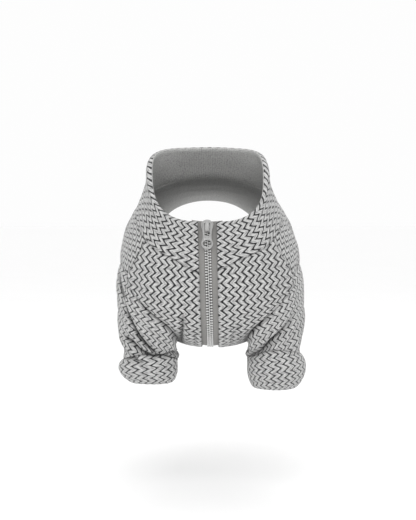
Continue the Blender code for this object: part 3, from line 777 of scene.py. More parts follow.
@dataclass
class ClothPiece:
    """One cut and sewn piece, as a closed shell with its two faces and rounded borders.

    A piece is laid out on rows, which run from one border to another, and columns. Each kind of
    piece says where its rows and columns lie.
    """

    form: Form
    name: str
    slot: str = "zigzag_knit"
    held: str = "draped"
    rests_on: tuple[str, ...] = ()
    step: float = 1.15
    thickness: float = CLOTH
    creases: tuple[Crease, ...] = ()
    row_edges: tuple[Edge, Edge] = (Edge.SEAM, Edge.FREE)
    column_edges: tuple[Edge, Edge] = (Edge.TURNED, Edge.SEAM)
    phase: Pair = (0.0, 0.0)  # where the zigzag starts on the cut
    lean: float = 0.0  # degrees by which the zigzag's columns lean towards the cut's last column
    climb: float = 0.0  # how steeply its courses climb towards it
    spread: Pair = (1.0, 1.0)  # how far the cloth is let out, across and along them
    flat: Pair = field(default=(0.1, 0.1), init=False)

    def skin(self, rows: Array, columns: Array) -> tuple[Array, Array]:
        """Points on the outer face and their outward directions, by shares of rows and columns."""
        raise NotImplementedError

    def cut(self, rows: Array, columns: Array, points: Array) -> Array:
        """Places on the flat cut, in millimetres."""
        raise NotImplementedError

    def extra_sink(self, rows: Array, columns: Array, borders: dict[str, Array]) -> Array:
        """How far a piece's own shape draws the face in."""
        return np.zeros(rows.shape)

    def extra_shade(self, rows: Array, columns: Array, borders: dict[str, Array]) -> Array:
        """How much painted shade the hollows of a piece's own shape get, from 0 to 1."""
        return np.zeros(rows.shape)

    def rise(self, rows: Array, columns: Array) -> Array:
        """How far the outer face alone stands out."""
        return np.zeros(rows.shape)

    def crease_places(self, rows: Array, columns: Array) -> tuple[Array, Pair]:
        """Places in the creases' coordinates, and millimetres for one unit of each."""
        raise NotImplementedError

    def knit_places(self, places: Array, points: Array) -> Array:
        """Distances across and along the knit's columns, before they are set askew."""
        return places

    def pattern(self, places: Array, points: Array) -> Array:
        """Where each point lies in the zigzag, with its columns and courses askew on the cut.

        Args:
            places: Places on the cut.
            points: Points on the outer face.

        Returns:
            A place in the zigzag for each point.
        """
        slant = math.tan(math.radians(self.lean))
        across, along = np.moveaxis(self.knit_places(places, points), -1, 0)
        along = (along + self.climb * across) / (1 + self.climb * slant)
        askew = np.stack((across - along * slant, along), axis=-1)
        return askew / np.array(self.spread) + np.array(self.phase)

    def shares(self) -> tuple[Array, Array]:
        """Shares of the rows and columns at which the shell has points.

        Returns:
            Rising shares of the rows, and of the columns.
        """
        line = np.linspace(0, 1, 121)
        rows, columns = np.meshgrid(line, line, indexing="ij")
        points = self.skin(rows, columns)[0]
        down = running_length(points, 0)[-1]
        across = running_length(points, 1)[:, -1]
        found = []
        for axis, length, edges in ((0, down, self.row_edges), (1, across, self.column_edges)):
            steps = np.linalg.norm(np.diff(points, axis=axis), axis=-1).mean(axis=1 - axis)
            even = even_shares(float(length.mean()), self.step, (edges[0].value, edges[1].value))
            found.append(np.interp(even, np.concatenate(((0.0,), np.cumsum(steps))) / steps.sum(), line))
        return found[0], found[1]

    def borders(self, points: Array) -> dict[str, Array]:
        """Distance from each border, along the cloth.

        Args:
            points: Points on the outer face.

        Returns:
            A distance for each point, by the border's name.
        """
        down, across = running_length(points, 0), running_length(points, 1)
        return {
            "first_row": down,
            "last_row": down[-1:] - down,
            "first_column": across,
            "last_column": across[:, -1:] - across,
        }

    def rounding(self, borders: dict[str, Array]) -> Array:
        """How far the cloth has thinned towards its borders, from 0 to 1.

        Args:
            borders: Distances from the borders, by name.

        Returns:
            A share for each point.
        """
        edges = (*self.row_edges, *self.column_edges)
        remaining = np.ones(borders["first_row"].shape)
        for distance, edge in zip(borders.values(), edges):
            inside = 1 - np.clip(distance / edge.value, 0, 1)
            remaining = remaining * np.sqrt(np.clip(1 - inside ** 2, 0, 1))
        return 1 - remaining

    def layers(self, knit: ZigzagKnit) -> tuple[Array, Array, Array, Array, Array]:
        """Work out the shell's two faces.

        Args:
            knit: The finish whose ribs stand out of the face.

        Returns:
            Outer points, inner points, places on the cut, places in the zigzag, and the painted shade of the
            hollows.
        """
        row_shares, column_shares = self.shares()
        rows, columns = np.meshgrid(row_shares, column_shares, indexing="ij")
        points, outwards = self.skin(rows, columns)
        borders = self.borders(points)
        places = self.cut(rows, columns, points)
        pattern = self.pattern(places, points)
        sink = self.extra_sink(rows, columns, borders)
        shade = self.extra_shade(rows, columns, borders)
        for crease in self.creases:
            depth, dark = crease.draw(*self.crease_places(rows, columns))
            sink, shade = sink + depth, shade + dark
        # Painted shade along seams and turned borders
        for distance, edge in zip(borders.values(), (*self.row_edges, *self.column_edges)):
            if edge in (Edge.SEAM, Edge.TURNED):
                shade = shade + SEAM_SHADE * bump_at(distance, 0.0, SEAM_SHADE_REACH)
        waver = ripple(places[..., 0], places[..., 1], len(self.name), WAVER_LENGTH)
        thickness = self.thickness + self.rise(rows, columns)
        rounded = self.rounding(borders)
        calm = 1 - ramp(rounded, 0.0, 1.0)
        ribs = self.ribs(knit, pattern) * calm
        sink = sink + WAVER_HEIGHT * (waver + 1) * calm
        middle = points - outwards * (sink + self.thickness - thickness / 2)[..., None]
        half = thickness / 2 * (1 - rounded)
        outer = middle + outwards * (half - ribs)[..., None]
        inner = middle - outwards * half[..., None]
        return outer, inner, places, pattern, np.clip(shade, 0.0, DARKEST)

    def ribs(self, knit: ZigzagKnit, pattern: Array) -> Array:
        """How far the grooves between the ribs lie below the face."""
        return knit.relief(pattern[..., 0], pattern[..., 1])

    def build(self, knit: ZigzagKnit, materials: tuple[Material, ...]) -> Object:
        """Make the piece.

        Args:
            knit: The finish whose ribs stand out of the face.
            materials: The face's material and the reverse's.

        Returns:
            The finished piece.
        """
        outer, inner, places, pattern, shade = self.layers(knit)
        bm = self.shell(outer * MM, inner * MM, pattern * MM, shade)
        self.flat = self.flat_size(places)
        area = sum(face.calc_area() for face in bm.faces) / 2
        piece = finished(self.name + "_cloth", bm, materials)
        stand_for(piece, self.name)
        LOG.info("%s: %.0f cm2 of cloth", piece.name, area * 1e4)
        return piece

    def shell(self, outer: Array, inner: Array, flat: Array, shade: Array) -> BMesh:
        """Join two faces into a closed shell, with its place in the knit and its painted shade on it.

        Args:
            outer: Points on the outer face, in metres.
            inner: Points on the inner face.
            flat: Where they lie in the knit's pattern.
            shade: How much painted shade the outer ones get.

        Returns:
            The shell.
        """
        n_rows, n_columns = outer.shape[:2]
        bm = bmesh.new()
        uv_layer = bm.loops.layers.uv.new(UV_NAME)
        shade_layer = bm.verts.layers.float.new(SHADE_NAME)
        bmesh.ops.create_grid(bm, x_segments=n_columns - 1, y_segments=n_rows - 1, size=1.0)
        bmesh.ops.translate(bm, vec=(0, 0, 1), verts=bm.verts)
        copy = bmesh.ops.duplicate(bm, geom=list(bm.verts) + list(bm.edges) + list(bm.faces))["geom"]
        lower = [item for item in copy if isinstance(item, BMVert)]
        lower_faces = [item for item in copy if isinstance(item, BMFace)]
        bmesh.ops.translate(bm, vec=(0, 0, -2), verts=lower)
        for face in lower_faces:
            face.material_index = 1
        lattice = []
        for vert in bm.verts:
            row, column = (vert.co.y + 1) / 2 * (n_rows - 1), (vert.co.x + 1) / 2 * (n_columns - 1)
            lattice.append((round(row), round(column), vert.co.z > 0))
        bm.verts.index_update()
        outer, inner, flat, shade = (item.tolist() for item in (outer, inner, flat, shade))
        for face in bm.faces:
            for loop in face.loops:
                i, j, _ = lattice[loop.vert.index]
                loop[uv_layer].uv = flat[i][j]
        for vert, (i, j, is_outer) in zip(bm.verts, lattice):
            vert.co = outer[i][j] if is_outer else inner[i][j]
            # The painted shade goes on the outer face only
            vert[shade_layer] = shade[i][j] if is_outer else 0.0
        bmesh.ops.remove_doubles(bm, verts=bm.verts, dist=1e-6)
        bmesh.ops.recalc_face_normals(bm, faces=bm.faces)
        return bm

    def flat_size(self, places: Array) -> Pair:
        """Width and length of the cut, in metres."""
        spread = places.reshape(-1, 2).max(axis=0) - places.reshape(-1, 2).min(axis=0)
        return float(spread[0]) * MM, float(spread[1]) * MM


def to_mesh(name: str, bm: BMesh) -> Mesh:
    """Turn a bmesh into a mesh, and free it.

    Args:
        name: The mesh's name.
        bm: The bmesh.

    Returns:
        The mesh.
    """
    mesh = bpy.data.meshes.new(name)
    bm.to_mesh(mesh)
    bm.free()
    return mesh


def finished(name: str, bm: BMesh, materials: tuple[Material, ...]) -> Object:
    """Turn a bmesh in metres into a smooth-shaded piece at the origin.

    Args:
        name: The piece's name.
        bm: Its shape.
        materials: Its materials.

    Returns:
        The piece.
    """
    mesh = to_mesh(name, bm)
    for surface in materials:
        mesh.materials.append(surface)
    mesh.shade_smooth()
    mesh.set_sharp_from_angle(angle=math.radians(SHARP_ANGLE))
    piece = bpy.data.objects.new(name, mesh)
    bpy.context.scene.collection.objects.link(piece)
    return piece


def stand_for(piece: Object, node: str, body: str = "garment") -> None:
    """Let a piece stand for its node, and report it.

    Args:
        piece: The piece.
        node: The node that it replaces.
        body: The body that it rides on.
    """
    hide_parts(node)
    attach(piece, body)
    LOG.info("%s: %d faces", piece.name, len(piece.data.polygons))


def laid_flat(points: Array, fixed: int, rounds: int = 700, ease: float = 0.3) -> Array:
    """Lay a grid of points flat as a cutter would, keeping its lengths as well as it can.

    Args:
        points: The grid on the form.
        fixed: The column that lies straight on the cut.
        rounds: How often the lengths are evened out.
        ease: Share of their error that is mended at a time.

    Returns:
        A place on the cut for each point.
    """
    down = running_length(points, 0)
    across = running_length(points, 1)
    middle = np.s_[:, fixed:fixed + 1]
    flat = np.stack((across - across[middle], np.broadcast_to(down[middle], down.shape)), -1)
    straight = flat[:, fixed].copy()
    n_rows, n_columns = points.shape[:2]
    springs = []
    for down_by, across_by in ((0, 1), (1, 0), (1, 1), (1, -1)):
        first = np.s_[0:n_rows - down_by, max(0, -across_by):n_columns - max(0, across_by)]
        last = np.s_[down_by:n_rows, max(0, across_by):n_columns - max(0, -across_by)]
        rest = np.linalg.norm(points[last] - points[first], axis=-1, keepdims=True)
        springs.append((first, last, rest))
    for _ in range(rounds):
        pull = np.zeros_like(flat)
        for first, last, rest in springs:
            gap = flat[last] - flat[first]
            length = np.linalg.norm(gap, axis=-1, keepdims=True)
            step = gap * (1 - rest / length) * 0.5
            pull[first] += step
            pull[last] -= step
        flat += pull * ease
        flat[:, fixed] = straight
    return flat


def read_grid(shares: Array, lines: tuple[Array, Array], table: Array, columns: Array) -> Array:
    """Read a coarse grid smoothly at finer rows and columns.

    Args:
        shares: Shares of the rows, for each fine point.
        lines: Shares of the coarse rows and columns.
        table: A place at each coarse point.
        columns: Shares of the columns, for each fine point.

    Returns:
        A place for each fine point.
    """
    by_row = smooth(lines[0], table.reshape(len(lines[0]), -1), shares[:, 0])
    by_row = by_row.reshape(len(shares), len(lines[1]), 2)
    swapped = np.moveaxis(by_row, 1, 0).reshape(len(lines[1]), -1)
    fine = smooth(lines[1], swapped, columns[0]).reshape(columns.shape[1], len(shares), 2)
    return np.moveaxis(fine, 0, 1)


@dataclass
class TrunkPiece(ClothPiece):
    """A piece that lies on the trunk."""

    coarse: tuple[int, int] = (46, 16)
    straight_column: float = 0.0  # share of the columns that lies straight on the cut

    def places(self, rows: Array, columns: Array) -> Array:
        """Station and angle, by shares of rows and columns."""
        raise NotImplementedError

    def skin(self, rows: Array, columns: Array) -> tuple[Array, Array]:
        """Points on the outer face and their outward directions."""
        station, angle = np.moveaxis(self.places(rows, columns), -1, 0)
        return self.form.face(station, angle), self.form.outwards(station, angle)

    def crease_places(self, rows: Array, columns: Array) -> tuple[Array, Pair]:
        """Station and angle, and millimetres for one unit of each."""
        return self.places(rows, columns), TRUNK_SCALE

    def cut(self, rows: Array, columns: Array, points: Array) -> Array:
        """Places on the flat cut, in millimetres.

        Args:
            rows: Shares of the rows.
            columns: Shares of the columns.
            points: Points on the outer face; not used.

        Returns:
            A place on the cut for each point.
        """
        lines = tuple(np.linspace(0, 1, count + 1) for count in self.coarse)
        coarse_rows, coarse_columns = np.meshgrid(*lines, indexing="ij")
        grid = self.skin(coarse_rows, coarse_columns)[0]
        flat = laid_flat(grid, round(self.straight_column * self.coarse[1]))
        return read_grid(rows, lines, flat, columns)


@dataclass(frozen=True)
class Boundary:
    """The border that a front and the back share, from the collar by the armhole to the hem."""

    form: Form
    first_turn: float
    shoulder_rows: float = 5.0
    side_rows: float = 8.0

    @property
    def armhole_rows(self) -> float:
        """Rows beside the armhole, one for each ten degrees of turn."""
        return abs(self.form.underarm_turn - self.first_turn) / 10

    @property
    def rows(self) -> float:
        """All rows."""
        return self.shoulder_rows + self.armhole_rows + self.side_rows

    def sections(self, row: Array) -> tuple[Array, Array, Array]:
        """Shares of the shoulder seam, the armhole and the side seam at a row.

        Args:
            row: Rows, as the border counts them.

        Returns:
            A share from 0 to 1 of each.
        """
        shoulder = np.clip(row / self.shoulder_rows, 0, 1)
        armhole = np.clip((row - self.shoulder_rows) / self.armhole_rows, 0, 1)
        side = np.clip((row - self.shoulder_rows - self.armhole_rows) / self.side_rows, 0, 1)
        return shoulder, armhole, side

    def turn(self, row: Array) -> Array:
        """Turn round the armhole at a row."""
        return self.first_turn + (self.form.underarm_turn - self.first_turn) * self.sections(row)[1]

    def outer(self, row: Array) -> Array:
        """Station and angle on the border.

        Args:
            row: Rows, as the border counts them.

        Returns:
            A station and an angle for each row.
        """
        form = self.form
        shoulder, _, side = self.sections(row)
        place = form.armhole(self.turn(row))
        top = np.array((float(form.collar_seam(form.shoulder_angle)), form.shoulder_angle))
        hem = np.array((HEM_STATION, form.side_seam_angle))
        place = np.where((shoulder < 1)[..., None], top + (place - top) * shoulder[..., None], place)
        return np.where((side > 0)[..., None], place + (hem - place) * side[..., None], place)

    def middle(self, row: Array, start: float) -> Array:
        """Stations along the zip or the spine, in step with the border's rows.

        Args:
            row: Rows, as the border counts them.
            start: The station at which they start.

        Returns:
            A station for each row.
        """
        first, last = self.form.beside_armhole
        shoulder, armhole, side = self.sections(row)
        station = start + (first - start) * shoulder
        return station + (last - first) * armhole + (HEM_STATION - last) * side

    def follow_collar(self, row: Array, place: Array, top: Array) -> Array:
        """Bend the first rows to the collar's seam, given the places on the top row.

        Args:
            row: Rows, as the border counts them.
            place: Places on the piece.
            top: Places on its top row.

        Returns:
            The bent places.
        """
        fade = np.clip(1 - row / self.shoulder_rows, 0, 1) ** 2
        place[..., 0] += fade * (self.form.collar_seam(top[..., 1]) - top[..., 0])
        return place


@dataclass
class Front(TrunkPiece):
    """A front, from the zip's edge outwards."""

    side: Side = Side.RIGHT
    armpit_dip: float = 2.8
    shade: Pair = (13.0, 0.62)  # painted shade under the arm: how far from the armhole's seam, how dark
    climb: float = -0.12
    plumb: float = 0.75  # how far the knit hangs plumb, and doesn't follow the cut
    zip_let_out: Pair = (1.7, 12.0)  # how much wider it lies beside the zip, and how far out
    drawn_up: Triple = (42.0, 88.0, 9.0)  # at the belly: from, to, how much cloth

    @property
    def border(self) -> Boundary:
        """The border that it shares with the back."""
        return Boundary(self.form, self.form.shoulder_turn)

    def knit_places(self, places: Array, points: Array) -> Array:
        """Distances across the ribs, which hang nearly plumb and lie wider beside the zip, and along them.

        Args:
            places: Places on the cut.
            points: Points on the outer face.

        Returns:
            A place in the knit for each point.
        """
        more, reach = self.zip_let_out
        aside = np.abs(points[..., 0] - points[:, :1, 0])
        across = self.plumb * aside + (1 - self.plumb) * places[..., 0]
        first, last, extra = self.drawn_up
        along = places[..., 1] + extra * ramp(places[..., 1], first, last)
        return np.stack((across + more * np.exp(-across / reach), along), axis=-1)

    def places(self, rows: Array, columns: Array) -> Array:
        """Station and angle, by shares of rows and columns.

        Args:
            rows: Shares of the rows.
            columns: Shares of the columns.

        Returns:
            A station and an angle for each place.
        """
        border, hand = self.border, self.side.value
        start = float(self.form.collar_seam(hand))

        def spread(row: Array, column: Array) -> Array:
            """Places between the zip's edge and the outer border.

            Args:
                row: Rows, as the border counts them.
                column: Shares of the way across.

            Returns:
                A station and an angle for each place.
            """
            station = border.middle(row, start)
            inner = np.stack((station, self.form.zip_edge(station, hand)), axis=-1)
            outer = border.outer(row) * (1, hand)
            return inner * (1 - column[..., None]) + outer * column[..., None]

        row = rows * border.rows
        return border.follow_collar(row, spread(row, columns), spread(np.zeros_like(row), columns))

    def extra_sink(self, rows: Array, columns: Array, borders: dict[str, Array]) -> Array:
        """Deepen the armhole's seam under the arm."""
        return armhole_dip(self.border.turn(rows * self.border.rows), borders["last_column"], self.armpit_dip)

    def extra_shade(self, rows: Array, columns: Array, borders: dict[str, Array]) -> Array:
        """Paint shade along the armhole's seam under the arm."""
        turn = self.border.turn(rows * self.border.rows)
        return armhole_shade(turn, borders["last_column"], self.shade, self.side)


# Under the arm, painted shade darkens the cloth beside the armhole's seam between these turns
SHADE_FROM = {Side.LEFT: 64.0, Side.RIGHT: 84.0}
SHADE_FADE, SHADE_TO = 36.0, (175.0, 215.0)
ARMHOLE_SHADE, ARMHOLE_SHADE_REACH = 0.55, 2.4  # how dark the painted shade on the seam itself is
# It also turns in: a share of the depth all round, and all of it between these turns
DIP_ELSEWHERE, DIP_FROM, DIP_TO = 0.12, (76.0, 118.0), (136.0, 185.0)
DIP_TROUGHS = ((0.7, 7.0), (0.3, 2.2))  # a wide and a narrow trough: share of the depth, reach


def armhole_shade(turn: Array, distance: Array, shade: Pair, side: Side) -> Array:
    """How much painted shade the cloth gets beside the armhole's seam under the arm.

    Args:
        turn: Turns in degrees.
        distance: Distances from the seam.
        shade: How far from the seam it reaches, and how dark it is.
        side: The side.

    Returns:
        A painted shade from 0 to 1 for each place.
    """
    start = SHADE_FROM[side]
    where = ramp(turn, start, start + SHADE_FADE) * (1 - ramp(turn, *SHADE_TO))
    seam = ARMHOLE_SHADE * bump_at(distance, 0.0, ARMHOLE_SHADE_REACH)
    return where * (seam + shade[1] * bump_at(distance, 0.0, shade[0]))


def armhole_dip(turn: Array, distance: Array, depth: float) -> Array:
    """How deep the cloth on both sides of the armhole's seam turns in under the arm."""
    where = DIP_ELSEWHERE + (1 - DIP_ELSEWHERE) * ramp(turn, *DIP_FROM) * (1 - ramp(turn, *DIP_TO))
    return depth * where * sum(share * bump_at(distance, 0.0, reach) for share, reach in DIP_TROUGHS)


@dataclass
class Back(TrunkPiece):
    """The back, from the viewer's right side seam over the spine to the left one."""

    straight_column: float = 0.5
    coarse: tuple[int, int] = (44, 32)

    def places(self, rows: Array, columns: Array) -> Array:
        """Station and angle, by shares of rows and columns.

        Args:
            rows: Shares of the rows.
            columns: Shares of the columns.

        Returns:
            A station and an angle for each place.
        """
        border = Boundary(self.form, self.form.shoulder_turn + 360)
        start = float(self.form.collar_seam(180.0))

        def spread(row: Array, column: Array) -> Array:
            """Places between the right border and the spine.

            Args:
                row: Rows, as the border counts them.
                column: Shares of the way across.

            Returns:
                A station and an angle for each place.
            """
            ease = np.sin(column * math.pi / 2)
            outer = border.outer(row)
            station = outer[..., 0] * (1 - ease) + border.middle(row, start) * ease
            return np.stack((station, outer[..., 1] * (1 - column) + 180 * column), axis=-1)

        half = 1 - np.abs(2 * columns - 1)
        row = rows * border.rows
        place = border.follow_collar(row, spread(row, half), spread(np.zeros_like(row), half))
        place[..., 1] = np.where(columns > 0.5, 360 - place[..., 1], place[..., 1])
        return place


@dataclass
class Collar(TrunkPiece):
    """The stand collar, from one side of the zip round the neck to the other, with a rolled top edge."""

    flare: float = 0.32  # how far the columns spread sideways for each millimetre down
    spread: Pair = (1.239, 0.86)
    phase: Pair = (-1.02, 0.0)
    flare_from: Pair = (5.0, 45.0)  # how far from the zip the flare starts and is whole
    flare_to: Pair = (75.0, 140.0)  # and where it fades and has gone

    def rise(self, rows: Array, columns: Array) -> Array:
        """How far the roll stands out."""
        return self.form.collar_roll(rows, self.places(rows, columns)[..., 1])

    def places(self, rows: Array, columns: Array) -> Array:
        """Station and angle, by shares of rows and columns.

        Args:
            rows: Shares of the rows.
            columns: Shares of the columns.

        Returns:
            A station and an angle for each place.
        """
        form = self.form
        ends = []
        for hand, whole in ((1, 0.0), (-1, 360.0)):
            angle = whole + form.zip_edge(form.collar_seam(hand), hand)
            station = form.top_edge(angle) * (1 - rows) + form.collar_seam(angle) * rows
            ends.append(whole + form.zip_edge(station, hand))
        angle = ends[0] * (1 - columns) + ends[1] * columns
        station = form.top_edge(angle) * (1 - rows) + form.collar_seam(angle) * rows
        return np.stack((station, angle), axis=-1)

    def knit_places(self, places: Array, points: Array) -> Array:
        """Distances across and along the columns, which spread away from the zip as they run down.

        Args:
            places: Places on the cut.
            points: Points on the outer face; not used.

        Returns:
            A place in the knit for each point.
        """
        across, down = places[..., 0], places[..., 1]
        near = np.minimum(across, across[:, -1:] - across)
        hand = np.where(across * 2 < across[:, -1:], -1.0, 1.0)
        sideways = hand * self.flare * ramp(near, *self.flare_from) * (1 - ramp(near, *self.flare_to))
        return np.stack((across + sideways * (down - down.mean()), down), axis=-1)

    def cut(self, rows: Array, columns: Array, points: Array) -> Array:
        """Places on the flat cut: a straight strip, as long as the collar's middle line.

        Args:
            rows: Shares of the rows; not used.
            columns: Shares of the columns; not used.
            points: Points on the outer face.

        Returns:
            A place on the cut for each point.
        """
        down, across = running_length(points, 0), running_length(points, 1)
        middle = across[len(across) // 2]
        return np.stack((np.broadcast_to(middle, down.shape), down), axis=-1)


@dataclass
class LegPiece(ClothPiece):
    """A tube of one of the shirt's legs."""

    side: Side = Side.RIGHT
    seam_heights: Triple = (-177.0, -175.0, -183.0)  # outer side, front, inner side
    cuff_bottom: float = -220.0
    cuff_swing: float = 3.0  # how much farther the cuff bellies on its outer side
    centre: Pair = (64.0, -70.0)
    half_size: Pair = (29.5, 29.0)
    column_edges: tuple[Edge, Edge] = (Edge.SEAM, Edge.SEAM)
    crease_length: float = 75.0  # millimetres that a crease counts as the tube's length
    opening_turn: float = -130.0  # where the cut opens: at the leg's rear, on its inner side

    def around_leg(self, turn: Array, out: Array, z: Array) -> Array:
        """Points on a level ring round the leg.

        Args:
            turn: Turns in degrees.
            out: Distances out from the leg's usual ring.
            z: Heights.

        Returns:
            A point for each place.
        """
        turn = np.radians(turn)
        x = self.side.value * (self.centre[0] + (self.half_size[0] + out) * np.cos(turn))
        y = self.centre[1] - (self.half_size[1] + out) * np.sin(turn)
        return self.form.leaned(np.stack(np.broadcast_arrays(x, y, z), axis=-1).astype(float))

    def seam_z(self, turn: Array) -> Array:
        """Height of the seam between the sleeve and the cuff.

        Args:
            turn: Turns in degrees.

        Returns:
            A height for each turn.
        """
        cos, sin = np.cos(np.radians(turn)), np.sin(np.radians(turn))
        outer, front, inner = self.seam_heights
        middle = (outer + inner) / 2
        return middle + (outer - middle) * cos + (front - middle) * sin ** 2

    def level(self, turn: Array) -> Array:
        """Level directions out from the leg."""
        turn = np.radians(turn)
        return np.stack((self.side.value * np.cos(turn), -np.sin(turn), np.zeros_like(turn)), axis=-1)

    def tube(self, along: Array, turn: Array) -> Array:
        """Points on the tube's smooth form."""
        raise NotImplementedError

    def tube_normals(self, along: Array, turn: Array) -> Array:
        """Directions out of the tube.

        Args:
            along: Shares of the tube's length.
            turn: Turns in degrees.

        Returns:
            A direction of length one for each place.
        """
        down = self.tube(along + 0.004, turn) - self.tube(along - 0.004, turn)
        round_it = self.tube(along, turn + 0.5) - self.tube(along, turn - 0.5)
        return unit(np.cross(down, round_it)) * -self.side.value

    def cut(self, rows: Array, columns: Array, points: Array) -> Array:
        """Places on the flat cut, opened along the hidden side.

        Args:
            rows: Shares of the rows; not used.
            columns: Shares of the columns; not used.
            points: Points on the outer face.

        Returns:
            A place on the cut for each point.
        """
        down, across = running_length(points, 0), running_length(points, 1)
        girth = across[:, -1].mean()
        even = (across / across[:, -1:]).mean(axis=0)
        return np.stack((np.broadcast_to(even * girth, down.shape), down), axis=-1)

    def turns(self, columns: Array) -> Array:
        """Turn round the leg, from the cut's opening."""
        return self.opening_turn + 360.0 * columns

    def knit_places(self, places: Array, points: Array) -> Array:
        """Distances across the columns from the leg's front, and straight down."""
        front = places[..., 0] - places[:, -1:, 0] * (FRONT_TURN - self.opening_turn) / 360.0
        return np.stack((front, -points[..., 2]), axis=-1)

    def crease_places(self, rows: Array, columns: Array) -> tuple[Array, Pair]:
        """Turn and share of the length, and millimetres for one unit of each."""
        return np.stack((self.turns(columns), rows), axis=-1), (LEG_SCALE, self.crease_length)


@dataclass
class Sleeve(LegPiece):
    """A sleeve, from the armhole to the cuff."""

    step: float = 0.8
    # How far the curve from the armhole to the cuff starts outwards and down, and ends straight down,
    # as shares of its length
    out_share: float = 0.11
    down_share: float = 0.34
    rise_share: float = 0.36
    turned_share: float = 0.09  # of the length, over which its ends turn to what they are sewn to
    row_edges: tuple[Edge, Edge] = (Edge.SEAM, Edge.SEAM)
    armpit_dip: float = 2.8
    shade: Pair = (4.0, 0.12)  # painted shade under the arm: how far from the armhole's seam, how dark
    gathers: float = 0.5

    def tube(self, along: Array, turn: Array) -> Array:
        """Points on the sleeve's smooth form.

        Args:
            along: Shares of the tube's length.
            turn: Turns in degrees.

        Returns:
            A point for each place.
        """
        place = self.form.armhole(turn)
        hand = self.side.value
        start = self.form.face(place[..., 0], hand * place[..., 1])
        out = self.form.outwards(place[..., 0], hand * place[..., 1])
        end = self.around_leg(turn, 0.0, self.seam_z(turn))
        length = np.linalg.norm(end - start, axis=-1, keepdims=True)
        down = np.array((0.0, 0.0, -1.0))
        first = start + length * (out * self.out_share + down * self.down_share)
        last = end - length * down * self.rise_share
        t = along[..., None]
        middle = 3 * first * t * (1 - t) ** 2 + 3 * last * t * t * (1 - t)
        return start * (1 - t) ** 3 + middle + end * t ** 3

    def skin(self, rows: Array, columns: Array) -> tuple[Array, Array]:
        """Points on the outer face and their outward directions.

        Args:
            rows: Shares of the rows.
            columns: Shares of the columns.

        Returns:
            A point and a direction for each place.
        """
        turn = self.turns(columns)
        points, outwards = self.tube(rows, turn), self.tube_normals(rows, turn)
        place = self.form.armhole(turn)
        at_body = self.form.outwards(place[..., 0], self.side.value * place[..., 1])
        near_body = bump_at(rows, 0.0, self.turned_share)[..., None]
        near_cuff = bump_at(rows, 1.0, self.turned_share)[..., None]
        outwards = outwards * (1 - near_body) * (1 - near_cuff)
        return points, unit(outwards + at_body * near_body + self.level(turn) * near_cuff)

    def extra_shade(self, rows: Array, columns: Array, borders: dict[str, Array]) -> Array:
        """Paint shade along the armhole's seam under the arm."""
        return armhole_shade(np.mod(self.turns(columns), 360), borders["first_row"], self.shade, self.side)

    def extra_sink(self, rows: Array, columns: Array, borders: dict[str, Array]) -> Array:
        """Gather the cloth a little at the cuff."""
        turn = np.mod(self.turns(columns), 360)
        return gathers(turn, borders["last_row"], self.gathers, self.side.value)

    def layers(self, knit: ZigzagKnit) -> tuple[Array, Array, Array, Array, Array]:
        """Work out the shell's two faces, and sink its top border with the body's.

        Args:
            knit: The finish whose ribs stand out of the face.

        Returns:
            What the layers of any piece are.
        """
        outer, inner, places, pattern, shade = super().layers(knit)
        rows, columns = np.meshgrid(*self.shares(), indexing="ij")
        points, outwards = self.skin(rows, columns)
        turn = np.mod(self.turns(columns), 360)
        dip = armhole_dip(turn, self.borders(points)["first_row"], self.armpit_dip)[..., None] * outwards
        return outer - dip, inner - dip, places, pattern, shade


def gathers(turn: Array, distance: Array, depth: float, seed: float) -> Array:
    """Small uneven puckers beside the seam of a cuff.

    Args:
        turn: Turns in degrees.
        distance: Distances from the seam.
        depth: Depth of the deepest.
        seed: What makes them gathers of their own.

    Returns:
        A depth for each place.
    """
    wave = np.sin(np.radians(turn * GATHERS_ROUND + 40 * np.sin(np.radians(turn * 2 + 60 * seed))))
    slow = 0.6 + 0.4 * np.sin(np.radians(turn * 3 + 110 * seed))
    return depth * slow * (0.5 + 0.5 * wave) * np.exp(-distance / GATHERS_REACH)


